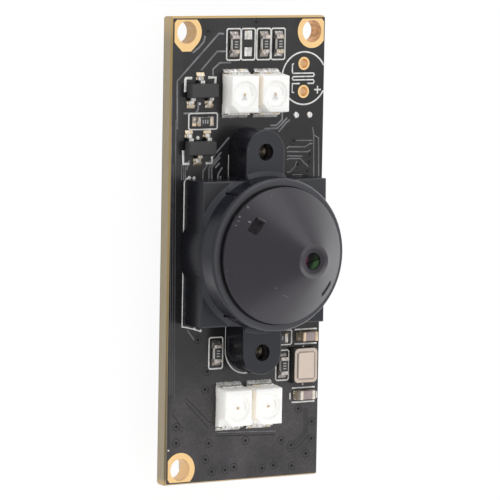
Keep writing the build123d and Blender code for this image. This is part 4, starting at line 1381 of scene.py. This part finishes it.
class Solder(bpy.types.Operator):
    """Turn the plain solder wedges into uneven fillets"""

    bl_idname = "board_camera.solder"
    bl_label = "Solder"

    def execute(self, context):
        for node in ("front_solder", "back_solder"):
            self.lump(node)
        return {"FINISHED"}

    def lump(self, node):
        """Remeshes a copy of the node, lifts it unevenly and smooths it."""
        piece = copy_of(node)
        add_modifier(piece, "REMESH", mode="VOXEL", voxel_size=sizes().solder_grain * MM)
        clouds = bpy.data.textures.new(f"{node}_lumps", "CLOUDS")
        clouds.noise_scale = SOLDER_LUMP_SIZE * MM
        clouds.noise_depth = 2
        add_modifier(
            piece, "DISPLACE", texture=clouds, strength=sizes().solder_lumps * MM, mid_level=0.5,
            texture_coords="GLOBAL")
        add_modifier(piece, "SMOOTH", factor=0.5, iterations=6)
        choose(piece)
        bpy.ops.object.shade_smooth()
        finished(piece, f"{node}_fillets", "solder", replaced=(node,))


class ChipMarks(bpy.types.Operator):
    """Print three bars on every chip resistor"""

    bl_idname = "board_camera.chip_marks"
    bl_label = "Chip marks"

    def execute(self, context):
        lines = []
        for x, y, turn in RESISTOR_PLACES:
            angle = radians(turn)
            for step in RESISTOR_BARS:
                ends = [(step, -RESISTOR_BAR_HALF), (step, RESISTOR_BAR_HALF)]
                lines.append([
                    (x + a * cos(angle) - b * sin(angle), y + a * sin(angle) + b * cos(angle))
                    for a, b in ends
                ])
        piece = drawn_lines(lines, FINE_MARK_WIDTH, FLAT_HEIGHT, corners("resistor_body_1")[1].z)
        finished(piece, "resistor_marks", "resistor_black", "chip_mark")
        return {"FINISHED"}


class CrystalLid(bpy.types.Operator):
    """Soften the crystal's lid and draw a dark line of painted shade round its panel's slope"""

    bl_idname = "board_camera.crystal_lid"
    bl_label = "Crystal lid"

    def execute(self, context):
        softened("crystal_lid", 1.0, "crystal_lid_metal", 3)
        low, high = corners("crystal_lid")
        size = high - low
        # Painted shade: a dark line on the sloped wall round the lid's raised panel.
        slope_shade = rounded_box(
            *middle("crystal_lid"), size.x - 2 * SLOPE_SHADE_INSET, size.y - 2 * SLOPE_SHADE_INSET, SLOPE_SHADE_CORNER)
        piece = drawn_lines([slope_shade], FINE_MARK_WIDTH, THIN_MARK_HEIGHT, high.z - SLOPE_SHADE_DROP)
        finished(piece, "crystal_lid_slope_shade", "crystal_lid_metal", "lid_slope_shade")
        return {"FINISHED"}


class SmallParts(bpy.types.Operator):
    """Soften the moulded and folded parts on both faces"""

    bl_idname = "board_camera.small_parts"
    bl_label = "Small parts"

    def execute(self, context):
        softened("led_contacts", 0.6, "tinned_metal")
        for number in (1, 2):
            softened(f"transistor_body_{number}", 1.0, "package_black")
            softened(f"capacitor_body_{number}", 0.8, "capacitor_ceramic")
        for number in range(1, len(RESISTOR_PLACES) + 1):
            softened(f"resistor_body_{number}", 0.6, "resistor_black")
        for node, share, slot, material in (
                ("resistor_caps", 0.6, "tinned_metal", "resistor_ends"),
                ("capacitor_caps", 1.0, "tinned_metal", "capacitor_ends"),
                ("controller_chip", 1.2, "package_black", None),
                ("memory_chip", 1.2, "package_black", None),
                ("regulator_body", 1.0, "package_black", None),
                ("socket_housing", 1.2, "socket_nylon", None),
                ("socket_tabs", 0.6, "tinned_metal", None),
                ("back_chip_caps", 0.6, "tinned_metal", "resistor_ends")):
            softened(node, share, slot, material=material)
        return {"FINISHED"}


class Studio(bpy.types.Operator):
    """Set the floor, the lamps, the surround and the camera"""

    bl_idname = "board_camera.studio"
    bl_label = "Studio"

    def execute(self, context):
        self.add_floor()
        self.add_lamps()
        self.add_surround(context.scene)
        self.add_camera(context.scene)
        context.scene.view_settings.view_transform = "Standard"
        return {"FINISHED"}

    def add_floor(self):
        """A plain floor, white to the camera and a graded card to metal and glass."""
        start_clean()
        bpy.ops.mesh.primitive_plane_add(size=FLOOR_SIZE, location=(0, 0, -0.1 * MM))
        floor = bpy.context.object
        floor.name = "studio_floor"
        finish = Finish("studio_floor", {"Base Color": FLOOR_COLOUR, "Roughness": 0.9})
        camera, glossy, through = (
            finish.node("ShaderNodeLightPath", output=f"Is {kind} Ray")
            for kind in ("Camera", "Glossy", "Transmission"))
        seen = camera.most(glossy).most(through) * 0.9
        x, y, _ = finish.parts(finish.place())
        card = x.step(-6.0, 14.0).most(1 - y.step(-9.0, -3.0)) * 0.66 + 0.5
        level = card + camera * (1.03 - card)
        glow = finish.node("ShaderNodeEmission", values={"Color": level, "Strength": 1.0})
        body = Value(finish, finish.surface.outputs[0])
        mixed = finish.node("ShaderNodeMixShader", values={0: seen, 1: body, 2: glow})
        finish.feed(finish.tree.nodes["Material Output"].inputs["Surface"], mixed)
        floor.data.materials.append(finish.material)

    def add_lamps(self):
        """Square lamps, each turned to the board."""
        powers = (studio().upper_power, studio().lower_power, studio().right_power)
        for (name, place), power in zip(LAMP_PLACES.items(), powers):
            start_clean()
            bpy.ops.object.light_add(type="AREA", location=place)
            lamp = bpy.context.object
            lamp.name = name
            lamp.data.shape = "SQUARE"
            lamp.data.size = LAMP_SIZE
            lamp.data.energy = power
            lamp.rotation_euler = Vector(place).to_track_quat("Z", "Y").to_euler()

    def add_surround(self, scene):
        world = bpy.data.worlds.new("surround")
        world.use_nodes = True
        ground = world.node_tree.nodes["Background"]
        ground.inputs["Color"].default_value = (1.0, 1.0, 1.0, 1.0)
        ground.inputs["Strength"].default_value = studio().world_strength
        scene.world = world

    def add_camera(self, scene):
        start_clean()
        bpy.ops.object.camera_add(location=studio().camera_place, rotation=studio().camera_turn)
        camera = bpy.context.object
        camera.name = "photo_camera"
        camera.data.sensor_fit = "HORIZONTAL"
        camera.data.sensor_width = SENSOR_WIDTH
        camera.data.lens = studio().focal_length
        camera.data.clip_start = 0.01
        camera.data.clip_end = 10.0
        scene.camera = camera


class BoardCameraPanel(bpy.types.Panel):
    """Lists the steps and their settings in the sidebar"""

    bl_idname = "VIEW3D_PT_board_camera"
    bl_label = "Board Camera"
    bl_space_type = "VIEW_3D"
    bl_region_type = "UI"
    bl_category = "Board Camera"

    def draw(self, context):
        for step in STEPS:
            self.layout.operator(step.bl_idname)
        for group in (looks(), sizes(), studio()):
            box = self.layout.box()
            for name in group.__annotations__:
                box.prop(group, name)


STEPS = (
    FinishNodes, Holder, LensBarrel, Diodes, SmallParts, CrystalLid, ChipMarks, Solder, PrintLines,
    CopperLines, Studio,
)
GROUPS = {
    "board_camera_looks": BoardCameraLooks,
    "board_camera_sizes": BoardCameraSizes,
    "board_camera_studio": StudioSettings,
}


def register():
    for group in (*GROUPS.values(), *STEPS, BoardCameraPanel):
        bpy.utils.register_class(group)
    for name, group in GROUPS.items():
        setattr(bpy.types.Scene, name, PointerProperty(type=group))


def unregister():
    for name in GROUPS:
        delattr(bpy.types.Scene, name)
    for group in (BoardCameraPanel, *reversed(STEPS), *GROUPS.values()):
        bpy.utils.unregister_class(group)


def main():
    register()
    for step in STEPS:
        area, name = step.bl_idname.split(".")
        getattr(getattr(bpy.ops, area), name)()
    start_clean()


if __name__ == "__main__":
    main()
